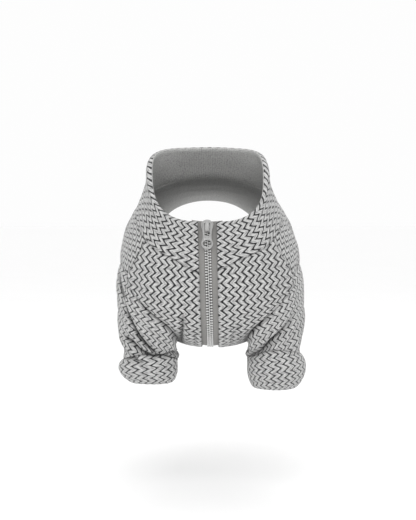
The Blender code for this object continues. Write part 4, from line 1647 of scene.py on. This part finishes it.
@dataclass
class Cuff(LegPiece):
    """A cuff, which bellies out, curls under and runs up inside."""

    held: str = "gathered"
    step: float = 0.95
    row_edges: tuple[Edge, Edge] = (Edge.SEAM, Edge.FREE)
    # out, level, share of the swing
    profile: tuple[Triple, ...] = (
        (0.0, 0.0, 0.25), (1.4, 0.15, 0.85), (2.0, 0.36, 1.0), (1.0, 0.58, 0.85), (-1.8, 0.79, 0.55),
        (-5.4, 0.94, 0.25), (-8.9, 1.0, 0.1), (-11.5, 0.93, 0.0), (-12.2, 0.80, 0.0), (-12.2, 0.68, 0.0),
    )
    gathers: float = 0.7
    gathers_shift: float = 12.0  # degrees between the cuff's gathers and the sleeve's
    turned_share: float = 0.05
    crease_length: float = 66.0

    def tube(self, along: Array, turn: Array) -> Array:
        """Points on the cuff's smooth form.

        Args:
            along: Shares of the tube's length.
            turn: Turns in degrees.

        Returns:
            A point for each place.
        """
        table = np.array(self.profile)
        knots = np.linspace(0, 1, len(table))
        out, level, swing = np.moveaxis(smooth(knots, table, along), -1, 0)
        out = out + swing * self.cuff_swing * np.cos(np.radians(turn))
        seam_z = self.seam_z(turn)
        return self.around_leg(turn, out, seam_z + level * (self.cuff_bottom - seam_z))

    def skin(self, rows: Array, columns: Array) -> tuple[Array, Array]:
        """Points on the outer face and their outward directions.

        Args:
            rows: Shares of the rows.
            columns: Shares of the columns.

        Returns:
            A point and a direction for each place.
        """
        turn = self.turns(columns)
        points, outwards = self.tube(rows, turn), self.tube_normals(rows, turn)
        near_seam = bump_at(rows, 0.0, self.turned_share)[..., None]
        return points, unit(outwards * (1 - near_seam) + self.level(turn) * near_seam)

    def knit_places(self, places: Array, points: Array) -> Array:
        """Distances across the columns from the leg's front, and along them from the sleeve's last row.

        Args:
            places: Places on the cut.
            points: Points on the outer face.

        Returns:
            A place in the knit for each point.
        """
        place = super().knit_places(places, points)
        place[..., 1] = places[..., 1] - points[:1, :, 2]
        return place

    def extra_sink(self, rows: Array, columns: Array, borders: dict[str, Array]) -> Array:
        """Gather the cloth a little at the seam."""
        turn = np.mod(self.turns(columns), 360)
        return gathers(turn + self.gathers_shift, borders["first_row"], self.gathers, self.side.value)


# Zip


@dataclass
class ZipTape(TrunkPiece):
    """A woven tape beside the teeth, with a cord along its inner edge."""

    side: Side = Side.RIGHT
    slot: str = "zip_tape"
    held: str = "stretched"
    span: Pair = (0.02, 16.0)  # from the zip's middle, out
    cord: Triple = (4.5, 0.55, 0.35)  # its place, half width and height
    stitching: Triple = (5.8, 0.4, 0.3)  # its place, half width and depth
    depth: float = 2.5  # of the tape's face below the cloth's
    from_station: float = 0.03
    thickness: float = 0.8
    step: float = 1.6
    row_edges: tuple[Edge, Edge] = (Edge.FREE, Edge.FREE)
    column_edges: tuple[Edge, Edge] = (Edge.FREE, Edge.FREE)

    def places(self, rows: Array, columns: Array) -> Array:
        """Station and angle, by shares of rows and columns.

        Args:
            rows: Shares of the rows.
            columns: Shares of the columns.

        Returns:
            A station and an angle for each place.
        """
        station = self.from_station + (HEM_STATION - self.from_station) * rows
        distance = self.side.value * (self.span[0] + (self.span[1] - self.span[0]) * columns)
        return np.stack((station, self.form.beside_zip(station, distance)), axis=-1)

    def cut(self, rows: Array, columns: Array, points: Array) -> Array:
        """Places on the flat cut, in millimetres."""
        return np.stack((running_length(points, 1), running_length(points, 0)), axis=-1)

    def extra_sink(self, rows: Array, columns: Array, borders: dict[str, Array]) -> Array:
        """Lie below the cloth, with a low cord beside the teeth.

        Args:
            rows: Shares of the rows; not used.
            columns: Shares of the columns.
            borders: Distances from the borders, by name; not used.

        Returns:
            A depth for each place.
        """
        across = self.span[0] + (self.span[1] - self.span[0]) * columns
        (cord, cord_reach, height), (line, line_reach, groove) = self.cord, self.stitching
        raised = height * bump_at(across, cord, cord_reach)
        return self.depth - raised + groove * bump_at(across, line, line_reach)

    def ribs(self, knit: ZigzagKnit, pattern: Array) -> Array:
        """A tape has no ribs."""
        return np.zeros(pattern.shape[:-1])


@dataclass
class ZipChain:
    """The moulded teeth, clamped on both tapes in turn."""

    form: Form
    pitch: float = 2.85
    foot: Triple = (1.7, 1.55, 2.8)  # across, along and outwards, where a tooth grips the tape
    foot_offset: float = 2.35  # of its middle from the zip's
    head: Triple = (1.5, 1.15, 2.5)
    head_offset: float = 0.25
    neck: Triple = (1.4, 0.8, 1.8)
    neck_offset: float = 1.2
    depth: float = 1.05  # of the teeth's faces below the cloth's
    from_station: float = 0.14
    rounding: float = 0.35

    def frames(self) -> list[tuple[Array, Array, Array, Array]]:
        """Where the teeth stand, one for each half pitch of the zip.

        Returns:
            A point, and its directions across, down and outwards, for each tooth.
        """
        stations = np.linspace(self.from_station, HEM_STATION - 0.02, 1200)
        line = self.form.face(stations, self.form.beside_zip(stations, 0.0))
        length = running_length(line[:, None], 0)[:, 0]
        at = np.interp(np.arange(self.pitch, length[-1], self.pitch / 2), length, stations)
        angle = self.form.beside_zip(at, 0.0)
        points, outwards = self.form.face(at, angle), self.form.outwards(at, angle)
        below = self.form.face(at + 0.02, self.form.beside_zip(at + 0.02, 0.0))
        down = unit(below - points)
        across = np.cross(outwards, down)
        return list(zip(points, across, down, outwards))

    def template(self) -> Mesh:
        """One tooth: its foot, neck and head, with all their edges rounded.

        Returns:
            The tooth, in millimetres.
        """
        bm = bmesh.new()
        parts = ((self.foot, self.foot_offset), (self.neck, self.neck_offset), (self.head, self.head_offset))
        for size, offset in parts:
            verts = bmesh.ops.create_cube(bm, size=1.0)["verts"]
            bmesh.ops.scale(bm, vec=size, verts=verts)
            bmesh.ops.translate(bm, vec=(offset, 0, 0), verts=verts)
        bmesh.ops.bevel(
            bm, geom=list(bm.edges), offset=self.rounding, segments=1, profile=0.5, affect="EDGES",
            material=-1,
        )
        return to_mesh("tooth", bm)

    def build(self, surface: Material) -> Object:
        """Make the chain of teeth.

        Args:
            surface: The teeth's material.

        Returns:
            The chain.
        """
        tooth = self.template()
        bm = bmesh.new()
        hand = 1
        for point, across, down, outwards in self.frames():
            before = len(bm.verts)
            bm.from_mesh(tooth)
            bm.verts.ensure_lookup_table()
            place = (point - outwards * (self.depth + self.foot[2] / 2)) * MM
            turn = Matrix((across * hand * MM, down * MM, outwards * MM)).transposed().to_4x4()
            bmesh.ops.transform(bm, matrix=Matrix.Translation(place) @ turn, verts=bm.verts[before:])
            hand = -hand
        bpy.data.meshes.remove(tooth)
        bmesh.ops.recalc_face_normals(bm, faces=bm.faces)
        piece = finished("zip_teeth", bm, (surface,))
        piece.data.shade_smooth()  # also across the bevels' sharp edges, which makes beads of the teeth
        stand_for(piece, "zip_chain")
        return piece


@dataclass
class ZipHead:
    """The slider with its bail, and the pull that hangs from it.

    Sizes are across, down and outwards from the hinge's foot on the cloth's face.
    """

    form: Form
    station: float = 0.13
    hinge_out: float = 1.5  # height of the hinge above its foot
    plate_half_width: float = 4.7
    plate_down: Pair = (-3.4, 9.6)
    front_plate_out: Pair = (-1.4, 0.0)
    back_plate_out: Pair = (-6.0, -4.6)
    post_half_width: float = 2.0
    post_down: Pair = (-3.0, 0.6)
    post_point: float = 0.25  # share of the post's width that its lower end keeps
    bail_half_width: float = 1.8
    bail_down: Pair = (-3.0, 9.4)
    bail_top: float = 3.9
    bail_wall: float = 1.2
    bail_groove: float = 0.3  # depth of the groove along its top
    flange: Pair = (0.76, 0.94)  # where it lies across, as shares of the plates' half width
    flange_down: Pair = (1.0, 8.0)
    flange_height: float = 0.75
    # width of the rounded edges, and degrees from which an edge is rounded
    plate_rounding: Pair = (0.4, 40.0)
    bail_rounding: Pair = (0.38, 50.0)
    pull_rounding: Pair = (0.22, 60.0)
    pull_thickness: float = 1.6
    # down, half width
    pull_outline: tuple[Pair, ...] = (
        (-1.6, 3.9), (-0.9, 5.0), (0.4, 5.9), (2.0, 6.3), (3.6, 6.1), (5.2, 5.6), (7.5, 4.9), (10.0, 4.55),
        (13.0, 4.4), (15.5, 4.4),
    )
    ring_down: float = 21.9
    ring_radius: float = 5.9
    hole: Pair = (4.4, 3.6)
    slot_half_width: float = 2.9
    slot_end: float = 14.6
    fork_up: float = 1.9  # how far the fork stands up past its pin
    pin_radius: float = 0.8
    pin_in_fork: float = 0.6  # how far the pin reaches into each of the fork's arms
    rim: float = 0.6  # width of the raised rim along the pull's edges
    recess: float = 0.35  # depth of the pull's face inside it

    def place(self) -> Matrix:
        """The matrix that brings across, down and outwards into the part's own frame.

        Returns:
            The matrix.
        """
        stations = self.station + np.array((-0.05, 0.0, 0.05))
        above, foot, below = self.form.face(stations, self.form.beside_zip(stations, 0.0))
        down = unit((below - above) * (0, 1, 1))
        out = np.array((0.0, down[2], -down[1]))
        turn = Matrix(((1.0, 0.0, 0.0), tuple(down), tuple(out))).transposed()
        return Matrix.Translation(foot * MM) @ (turn * MM).to_4x4()

    def block(self, bm: BMesh, low: tuple, high: tuple) -> list[BMVert]:
        """Add a box between two corners.

        Args:
            bm: The mesh.
            low: Its lowest corner.
            high: Its highest corner.

        Returns:
            The box's corners.
        """
        size = [b - a for a, b in zip(low, high)]
        centre = [(a + b) / 2 for a, b in zip(low, high)]
        verts = bmesh.ops.create_cube(bm, size=1.0)["verts"]
        bmesh.ops.scale(bm, vec=size, verts=verts)
        bmesh.ops.translate(bm, vec=centre, verts=verts)
        return verts

    def plate(self, bm: BMesh, out: Pair) -> None:
        """Add one of the slider's plates, wide at its shoulders and narrow at its foot.

        Args:
            bm: The mesh.
            out: Where its two faces lie outwards.
        """
        wide, top, bottom = self.plate_half_width, *self.plate_down
        # down, share of the half width
        edge = (
            (top, 0.42), (top + 0.5, 0.70), (top + 1.6, 0.92), (top + 3.4, 1.0), (top + 6.0, 0.97),
            (bottom - 3.4, 0.86), (bottom - 0.8, 0.78), (bottom, 0.66),
        )
        outline = [(wide * x, y) for y, x in edge] + [(-wide * x, y) for y, x in reversed(edge)]
        face = bm.faces.new([bm.verts.new((x, y, out[0])) for x, y in outline])
        self.sweep(bm, [face], (0, 0, out[1] - out[0]))

    def sweep(self, bm: BMesh, faces: list[BMFace], way: tuple) -> None:
        """Extrude faces along a way.

        Args:
            bm: The mesh.
            faces: The faces.
            way: The way and its length.
        """
        swept = bmesh.ops.extrude_face_region(bm, geom=faces)["geom"]
        moved = [item for item in swept if isinstance(item, BMVert)]
        bmesh.ops.translate(bm, vec=way, verts=moved)

    def soften(self, bm: BMesh, width: float, angle: float) -> None:
        """Round the sharp edges.

        Args:
            bm: The mesh.
            width: The rounding's width.
            angle: How many degrees an edge turns to be sharp.
        """
        bmesh.ops.recalc_face_normals(bm, faces=bm.faces)
        sharp = [
            edge for edge in bm.edges
            if len(edge.link_faces) == 2 and edge.calc_face_angle(0.0) > math.radians(angle)
        ]
        bmesh.ops.bevel(
            bm, geom=sharp, offset=width, segments=2, profile=0.5, affect="EDGES", material=-1,
            clamp_overlap=True,
        )

    def bail(self) -> BMesh:
        """The arch over the front plate, with a shallow groove along its top.

        Returns:
            The arch's mesh.
        """
        bm = bmesh.new()
        top, bottom = self.bail_down
        high, wall, sunk = self.bail_top, self.bail_wall, -0.7
        inside = high - wall
        outline = (
            (top, sunk), (top, high - 2.0), (top + 0.5, high - 0.8), (top + 1.6, high), (bottom - 2.6, high),
            (bottom - 1.0, high - 0.7), (bottom, high - 2.2), (bottom, sunk), (bottom - wall, sunk),
            (bottom - wall, inside - 1.2), (bottom - 2.4, inside), (top + 1.6, inside),
            (top + wall, inside - 0.6), (top + wall, sunk),
        )
        wide = self.bail_half_width
        face = bm.faces.new([bm.verts.new((-wide, down, out)) for down, out in outline])
        self.sweep(bm, [face], (2 * wide, 0, 0))
        for across in (-0.9, -0.35, 0.35, 0.9):
            geometry = list(bm.verts) + list(bm.edges) + list(bm.faces)
            bmesh.ops.bisect_plane(bm, geom=geometry, plane_co=(across, 0, 0), plane_no=(1, 0, 0))
        groove = [vert for vert in bm.verts if abs(vert.co.x) < 0.5 and vert.co.z > inside + 0.3]
        bmesh.ops.translate(bm, vec=(0, 0, -self.bail_groove), verts=groove)
        self.soften(bm, *self.bail_rounding)
        return bm

    def slider(self, surfaces: tuple[Material, ...]) -> Object:
        """Make the slider.

        Args:
            surfaces: The lacquer, and its darker copy for the painted shade in the pull's recess.

        Returns:
            The slider.
        """
        bm = bmesh.new()
        self.plate(bm, self.front_plate_out)
        self.plate(bm, self.back_plate_out)
        self.soften(bm, *self.plate_rounding)
        top, bottom = self.post_down
        wide = self.post_half_width
        post = self.block(
            bm, (-wide, top, self.back_plate_out[1] - 0.5), (wide, bottom, self.front_plate_out[0] + 0.5)
        )
        narrow = [vert for vert in post if vert.co.y > 0]
        bmesh.ops.scale(bm, vec=(self.post_point, 1, 1), verts=narrow)
        # The flanges that hold the teeth together
        start, end = self.flange_down
        high = self.flange_height
        levels = ((self.front_plate_out[0], -high), (self.back_plate_out[1], high))
        for hand in (-1, 1):
            left, right = sorted(hand * (self.plate_half_width * share) for share in self.flange)
            for level, rise in levels:
                lower, upper = sorted((level, level + rise))
                self.block(bm, (left, start, lower), (right, end, upper))
        mesh = to_mesh("bail", self.bail())
        bm.from_mesh(mesh)
        bpy.data.meshes.remove(mesh)
        return self.put(bm, "slider", "zip_slider", "garment", surfaces[:1])

    def pull(self, surfaces: tuple[Material, ...]) -> Object:
        """Make the pull: a fork on a pin, with a neck and a plain ring.

        Args:
            surfaces: The lacquer, and its darker copy for the painted shade in the pull's recess.

        Returns:
            The pull.
        """
        neck_half = self.pull_outline[-1][1]
        reach = math.asin(neck_half / self.ring_radius)
        right = [(half, down) for down, half in self.pull_outline]
        ring = [
            (self.ring_radius * math.sin(turn), self.ring_down - self.ring_radius * math.cos(turn))
            for turn in np.linspace(reach, 2 * math.pi - reach, 33)[1:-1]
        ]
        left = [(-half, down) for half, down in reversed(right)]
        slot_centre = self.slot_end - self.slot_half_width
        slot = [
            (-self.slot_half_width * math.cos(turn), slot_centre + self.slot_half_width * math.sin(turn))
            for turn in np.linspace(0, math.pi, 13)
        ]
        tips = [(hand * self.slot_half_width, -self.fork_up) for hand in (-1, 1)]
        fork = tips[:1] + slot + tips[1:]
        outline = right + ring + left + fork
        hole = [
            (self.hole[0] * math.cos(turn), self.ring_down + self.hole[1] * math.sin(turn))
            for turn in np.linspace(0, 2 * math.pi, 33)[:-1]
        ]
        low = self.hinge_out - self.pull_thickness / 2
        bm = bmesh.new()
        edges = []
        for loop in (outline, hole):
            verts = [bm.verts.new((x, y, low)) for x, y in loop]
            edges += [bm.edges.new(pair) for pair in zip(verts, verts[1:] + verts[:1])]
        bmesh.ops.triangle_fill(bm, edges=edges, use_beauty=True)
        self.sweep(bm, list(bm.faces), (0, 0, self.pull_thickness))
        bmesh.ops.recalc_face_normals(bm, faces=bm.faces)
        top = [face for face in bm.faces if face.normal.z > 0.9]
        bmesh.ops.inset_region(
            bm, faces=top, thickness=self.rim, depth=-self.recess, use_even_offset=True, use_boundary=True
        )
        # The recessed face takes the darker copy of the lacquer: painted shade
        for face in top:
            face.material_index = 1
        self.soften(bm, *self.pull_rounding)
        pin = bmesh.ops.create_cone(
            bm, cap_ends=True, segments=20, radius1=self.pin_radius, radius2=self.pin_radius,
            depth=2 * (self.slot_half_width + self.pin_in_fork),
        )["verts"]
        bmesh.ops.rotate(bm, cent=(0, 0, 0), matrix=Matrix.Rotation(math.radians(90), 3, "Y"), verts=pin)
        bmesh.ops.translate(bm, vec=(0, 0, self.hinge_out), verts=pin)
        return self.put(bm, "pull", "zip_pull", "pull_tab", surfaces)

    def put(
        self, bm: BMesh, name: str, node: str, body: str, surfaces: tuple[Material, ...]
    ) -> Object:
        """Bring a piece to its place and let it stand for its node.

        Args:
            bm: Its shape.
            name: The piece's name.
            node: The node that it replaces.
            body: The body that it rides on.
            surfaces: The lacquer, and its darker copy for the painted shade in the pull's recess.

        Returns:
            The piece.
        """
        bmesh.ops.transform(bm, matrix=self.place(), verts=bm.verts)
        bmesh.ops.recalc_face_normals(bm, faces=bm.faces)
        piece = finished(name, bm, surfaces)
        stand_for(piece, node, body)
        return piece


# Studio


@dataclass(frozen=True)
class Studio:
    """A pale floor, soft light from above and in front, and the camera."""

    floor_z: float = -0.336  # as far below the shirt as the photo's floor
    floor_size: float = 60.0
    floor_colors: tuple[str, str] = ("#ffffff", "#fdfdfd")
    # name, place, size, power
    lights: tuple[tuple[str, Triple, float, float], ...] = (
        ("key", (-0.15, -1.3, 1.0), 0.8, 6.0),
        ("fill", (0.0, -1.4, -0.2), 0.9, 4.0),
        ("top", (0.1, 0.5, 1.7), 1.0, 6.0),
    )
    aim: Triple = (0.0, 0.0, -0.1)
    sky_color: str = "#ffffff"
    sky: float = 0.985
    camera_at: Triple = (0.0, -1.233, -0.044)
    pitch: float = 2.02  # degrees below level
    focal_pixels: float = 1108.0
    frame_height: int = 520

    def build(self) -> None:
        """Make the floor, the light and the camera."""
        self.floor()
        scene = bpy.context.scene
        world = bpy.data.worlds.new("studio")
        world.use_nodes = True
        fill(world.node_tree.nodes["Background"], (linear(self.sky_color), self.sky))
        scene.world = world
        scene.view_settings.view_transform = "Standard"
        for light in self.lights:
            self.light(*light)
        lens = bpy.data.cameras.new("camera")
        lens.sensor_width = 36.0
        lens.lens = self.focal_pixels * lens.sensor_width / self.frame_height
        lens.clip_start = 0.01
        camera = bpy.data.objects.new("camera", lens)
        camera.location = self.camera_at
        camera.rotation_euler = (math.radians(90 - self.pitch), 0.0, 0.0)
        scene.collection.objects.link(camera)
        scene.camera = camera

    def floor(self) -> None:
        """Make the floor, of matt white paper: the eye sees it run into the white sky."""
        surface, add, shader = new_material("studio_floor")
        place = add("TexCoord", (), "Object")
        cloud = add("TexNoise", {"Vector": place, "Scale": 3.0})
        first, second = self.floor_colors
        colors = {0: cloud, 6: linear(first), 7: linear(second)}
        fill(shader, {
            "Base Color": add("Mix", colors, **COLORS),
            "Roughness": 0.9,
            "Specular IOR Level": 0.1,
        })
        bm = bmesh.new()
        bmesh.ops.create_grid(bm, x_segments=1, y_segments=1, size=self.floor_size)
        bmesh.ops.translate(bm, vec=(0, 0, self.floor_z), verts=bm.verts)
        finished("studio_floor", bm, (surface,))

    def light(self, name: str, at: Triple, size: float, power: float) -> None:
        """Add a square soft light that faces the shirt.

        Args:
            name: Its name.
            at: Its place.
            size: Its width.
            power: Its power in watts.
        """
        lamp = bpy.data.lights.new(name, "AREA")
        lamp.size = size
        lamp.energy = power
        holder = bpy.data.objects.new(name, lamp)
        holder.location = at
        holder.rotation_euler = (Vector(self.aim) - Vector(at)).to_track_quat("-Z", "Y").to_euler()
        bpy.context.scene.collection.objects.link(holder)


# The shirt

LEG_SIZES = {
    Side.LEFT: {"seam_heights": (-189.0, -180.0, -188.0), "cuff_bottom": -214.0, "cuff_swing": 4.0},
    Side.RIGHT: {"seam_heights": (-183.0, -177.0, -186.0), "cuff_bottom": -220.0, "cuff_swing": 3.0},
}
SLEEVE_KNIT = {
    Side.LEFT: {"lean": 0.0, "climb": -0.33, "spread": (1.1, 0.83)},
    Side.RIGHT: {"lean": -10.0, "climb": -0.33, "spread": (1.0, 0.8)},
}
CUFF_KNIT = {
    Side.LEFT: {"lean": 0.0, "climb": 0.12, "spread": (1.16, 0.8), "phase": (1.8, 0.0)},
    Side.RIGHT: {"lean": -8.0, "climb": -0.1, "spread": (0.94, 0.8)},
}
SLEEVE_CREASES = {
    Side.LEFT: (
        Crease(
            ((4, 0.14), (22, 0.24), (43, 0.32), (56, 0.42), (64, 0.56), (71, 0.69), (83, 0.83), (98, 0.95)),
            4.4, 2.0, 3.2, 0.6, 0.9, 2.2,
        ),
        Crease(((28, 0.77), (49, 0.82), (61, 0.89), (70, 0.94), (86, 1.0)), 4.5, 3.0, 4.0, 0.5, 0.6),
        Crease(((112, 1.0), (124, 0.97), (138, 0.88), (162, 0.78)), 4.5, 1.0, 2.0, 0.4, 0.1),
        Crease(((-24, 0.85), (10, 0.90), (50, 0.93)), 4.0, 1.4, 0.6),
        Crease(((-4, 0.52), (0, 0.72), (4, 0.92)), 10.0, -3.8, 0.0, 0.0, 0.15),
        Crease(((-66, 0.20), (-56, 0.55), (-58, 0.88)), 7.0, 2.4),
        Crease(((196, 0.30), (172, 0.62), (138, 0.93)), 6.0, 2.4, 0.8),
        Crease(((-112, 0.45), (-96, 0.72), (-104, 0.94)), 5.0, 2.0),
    ),
    Side.RIGHT: (
        Crease(
            ((58, 0.42), (73, 0.57), (84, 0.67), (97, 0.77), (108, 0.86), (125, 0.94), (148, 0.96),
             (168, 0.99)),
            5.5, 4.0, 2.8, 0.5, 0.15,
        ),
        Crease(((24, 0.60), (42, 0.75), (62, 0.82)), 5.0, 1.6),
        Crease(((-2, 0.50), (0, 0.65), (2, 0.82)), 9.0, -2.2, 0.0, 0.0, 0.1),
        Crease(((-24, 0.90), (2, 0.95), (26, 0.96)), 5.0, 0.9, 0.5),
        Crease(((-58, 0.28), (-66, 0.60), (-48, 0.90)), 7.0, 2.4),
        Crease(((190, 0.34), (168, 0.60), (150, 0.90)), 6.0, 2.2, 0.6),
        Crease(((-114, 0.30), (-102, 0.60), (-112, 0.90)), 5.0, 1.8),
    ),
}
CUFF_CREASES = {
    Side.LEFT: (
        Crease(((30, 0.01), (54, 0.03), (65, 0.12), (84, 0.17)), 4.0, 2.2, 2.0),
        Crease(((70, 0.00), (84, 0.01), (99, 0.05), (121, 0.00), (160, 0.00)), 3.6, 2.2, 3.0, 0.4, 0.15),
        Crease(((-50, 0.05), (-72, 0.22), (-70, 0.40)), 5.0, 1.8),
    ),
    Side.RIGHT: (
        Crease(((112, 0.00), (140, 0.02), (168, 0.00)), 4.0, 1.8, 1.2),
        Crease(((-46, 0.04), (-60, 0.20), (-84, 0.36)), 5.0, 1.8),
    ),
}
FRONT_CREASES = {
    Side.LEFT: (
        Crease(((3.9, -14.4), (4.3, -14.9), (4.8, -15.5), (5.9, -17.4)), 3.4, 1.7, 2.0, 0.5, 0.4),
        Crease(((4.5, -7.9), (4.9, -8.5), (5.8, -10.0)), 3.0, 0.9, 0.6, 0.5, 0.3),
        Crease(((3.0, -50.0), (3.5, -47.0), (4.0, -48.0)), 7.0, 1.6),
        Crease(((6.9, -14.0), (7.6, -22.0), (8.1, -34.0)), 8.0, 3.0),
        Crease(((8.6, -12.0), (9.1, -26.0), (9.2, -40.0)), 9.0, 2.6),
    ),
    Side.RIGHT: (
        Crease(((4.1, 15.0), (4.5, 12.8), (5.0, 10.4), (6.0, 9.6)), 3.2, 1.1, 0.7, 0.5, 0.3),
        Crease(((3.1, 48.0), (3.6, 46.0), (4.1, 44.0)), 7.0, 1.5),
        Crease(((6.8, 15.0), (7.4, 24.0), (8.0, 33.0)), 8.0, 2.8),
        Crease(((8.3, 13.0), (8.8, 24.0), (9.0, 42.0)), 9.0, 2.4),
    ),
}
BACK_CREASES = (
    Crease(((2.3, 96.0), (3.2, 104.0), (4.2, 100.0)), 10.0, 2.6),
    Crease(((2.3, 262.0), (3.4, 255.0), (4.0, 262.0)), 10.0, 2.4),
    Crease(((6.6, 66.0), (7.4, 84.0), (7.8, 108.0)), 10.0, 3.4),
    Crease(((6.5, 296.0), (7.1, 280.0), (7.9, 258.0)), 10.0, 3.2),
    Crease(((8.4, 70.0), (9.0, 92.0), (8.9, 120.0)), 12.0, 3.0),
    Crease(((8.7, 288.0), (9.1, 268.0), (9.0, 240.0)), 12.0, 2.8),
    Crease(((2.5, 140.0), (3.0, 172.0), (2.8, 214.0)), 11.0, 2.2),
    Crease(((5.4, 150.0), (5.9, 178.0), (5.6, 196.0)), 12.0, 1.6),
)


@dataclass
class DogShirt:
    """The whole shirt."""

    form: Form = field(default_factory=Form)
    knit: ZigzagKnit = field(default_factory=ZigzagKnit)
    leg_stroke: float = 1.18  # the dark line's width on the legs, where the knit lies looser
    leg_line: str = "#28282a"
    recess_painted_shade_colors: tuple[str, str] = ("#8e8e8d", "#7f7f7e")  # painted shade: darker copies of the lacquer's colours for the pull's face inside its rim

    def cloth(self) -> list[ClothPiece]:
        """The cut and sewn pieces, with their creases.

        A crease on the trunk runs through stations and angles, and one on a leg through turns and
        shares of the length.

        Returns:
            The pieces, each ready to build.
        """
        form = self.form
        ends = {"row_edges": (Edge.ROLL, Edge.SEAM), "column_edges": (Edge.TURNED, Edge.TURNED)}
        pieces: list[ClothPiece] = [
            Collar(form, "collar", rests_on=("back",), **ends),
            Back(form, "back", step=1.7, column_edges=(Edge.SEAM, Edge.SEAM), creases=BACK_CREASES),
        ]
        for side in Side:
            creases = FRONT_CREASES[side]
            pieces.append(Front(form, "front_" + side.word, side=side, rests_on=("back",), creases=creases))
        for side in Side:
            front, sleeve, cuff = (name + side.word for name in ("front_", "sleeve_", "cuff_"))
            sizes = LEG_SIZES[side] | SLEEVE_KNIT[side] | {"side": side, "creases": SLEEVE_CREASES[side]}
            pieces.append(Sleeve(form, sleeve, rests_on=(front, "back"), **sizes))
            sizes = LEG_SIZES[side] | CUFF_KNIT[side] | {"side": side, "creases": CUFF_CREASES[side]}
            pieces.append(Cuff(form, cuff, rests_on=(sleeve,), **sizes))
        return pieces

    def build(self) -> None:
        """Make all pieces and report each."""
        body = self.knit.material("zigzag_knit")
        legs = replace(self.knit, stroke=self.leg_stroke, line=self.leg_line).material("zigzag_knit_loose")
        reverse = KnitReverse().material()
        for piece in self.cloth():
            piece.build(self.knit, (legs if isinstance(piece, LegPiece) else body, reverse))
        tape = WovenTape().material()
        for side in Side:
            rests_on = ("front_" + side.word,)
            piece = ZipTape(self.form, "zip_tape_" + side.word, side=side, rests_on=rests_on)
            piece.build(self.knit, (tape, tape))
        ZipChain(self.form).build(MouldedAcetal().material())
        # A darker copy of the lacquer for the pull's recessed face: painted shade
        recess = LacqueredZinc(*self.recess_painted_shade_colors)
        metal = (LacqueredZinc().material("lacquered_zinc"), recess.material("lacquered_zinc_recess"))
        head = ZipHead(self.form)
        head.slider(metal)
        head.pull(metal)


def main() -> None:
    """Load the frame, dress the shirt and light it."""
    logging.basicConfig(level=logging.INFO, format="%(name)s: %(message)s")
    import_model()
    DogShirt().build()
    Studio().build()


if __name__ == "__main__":
    main()
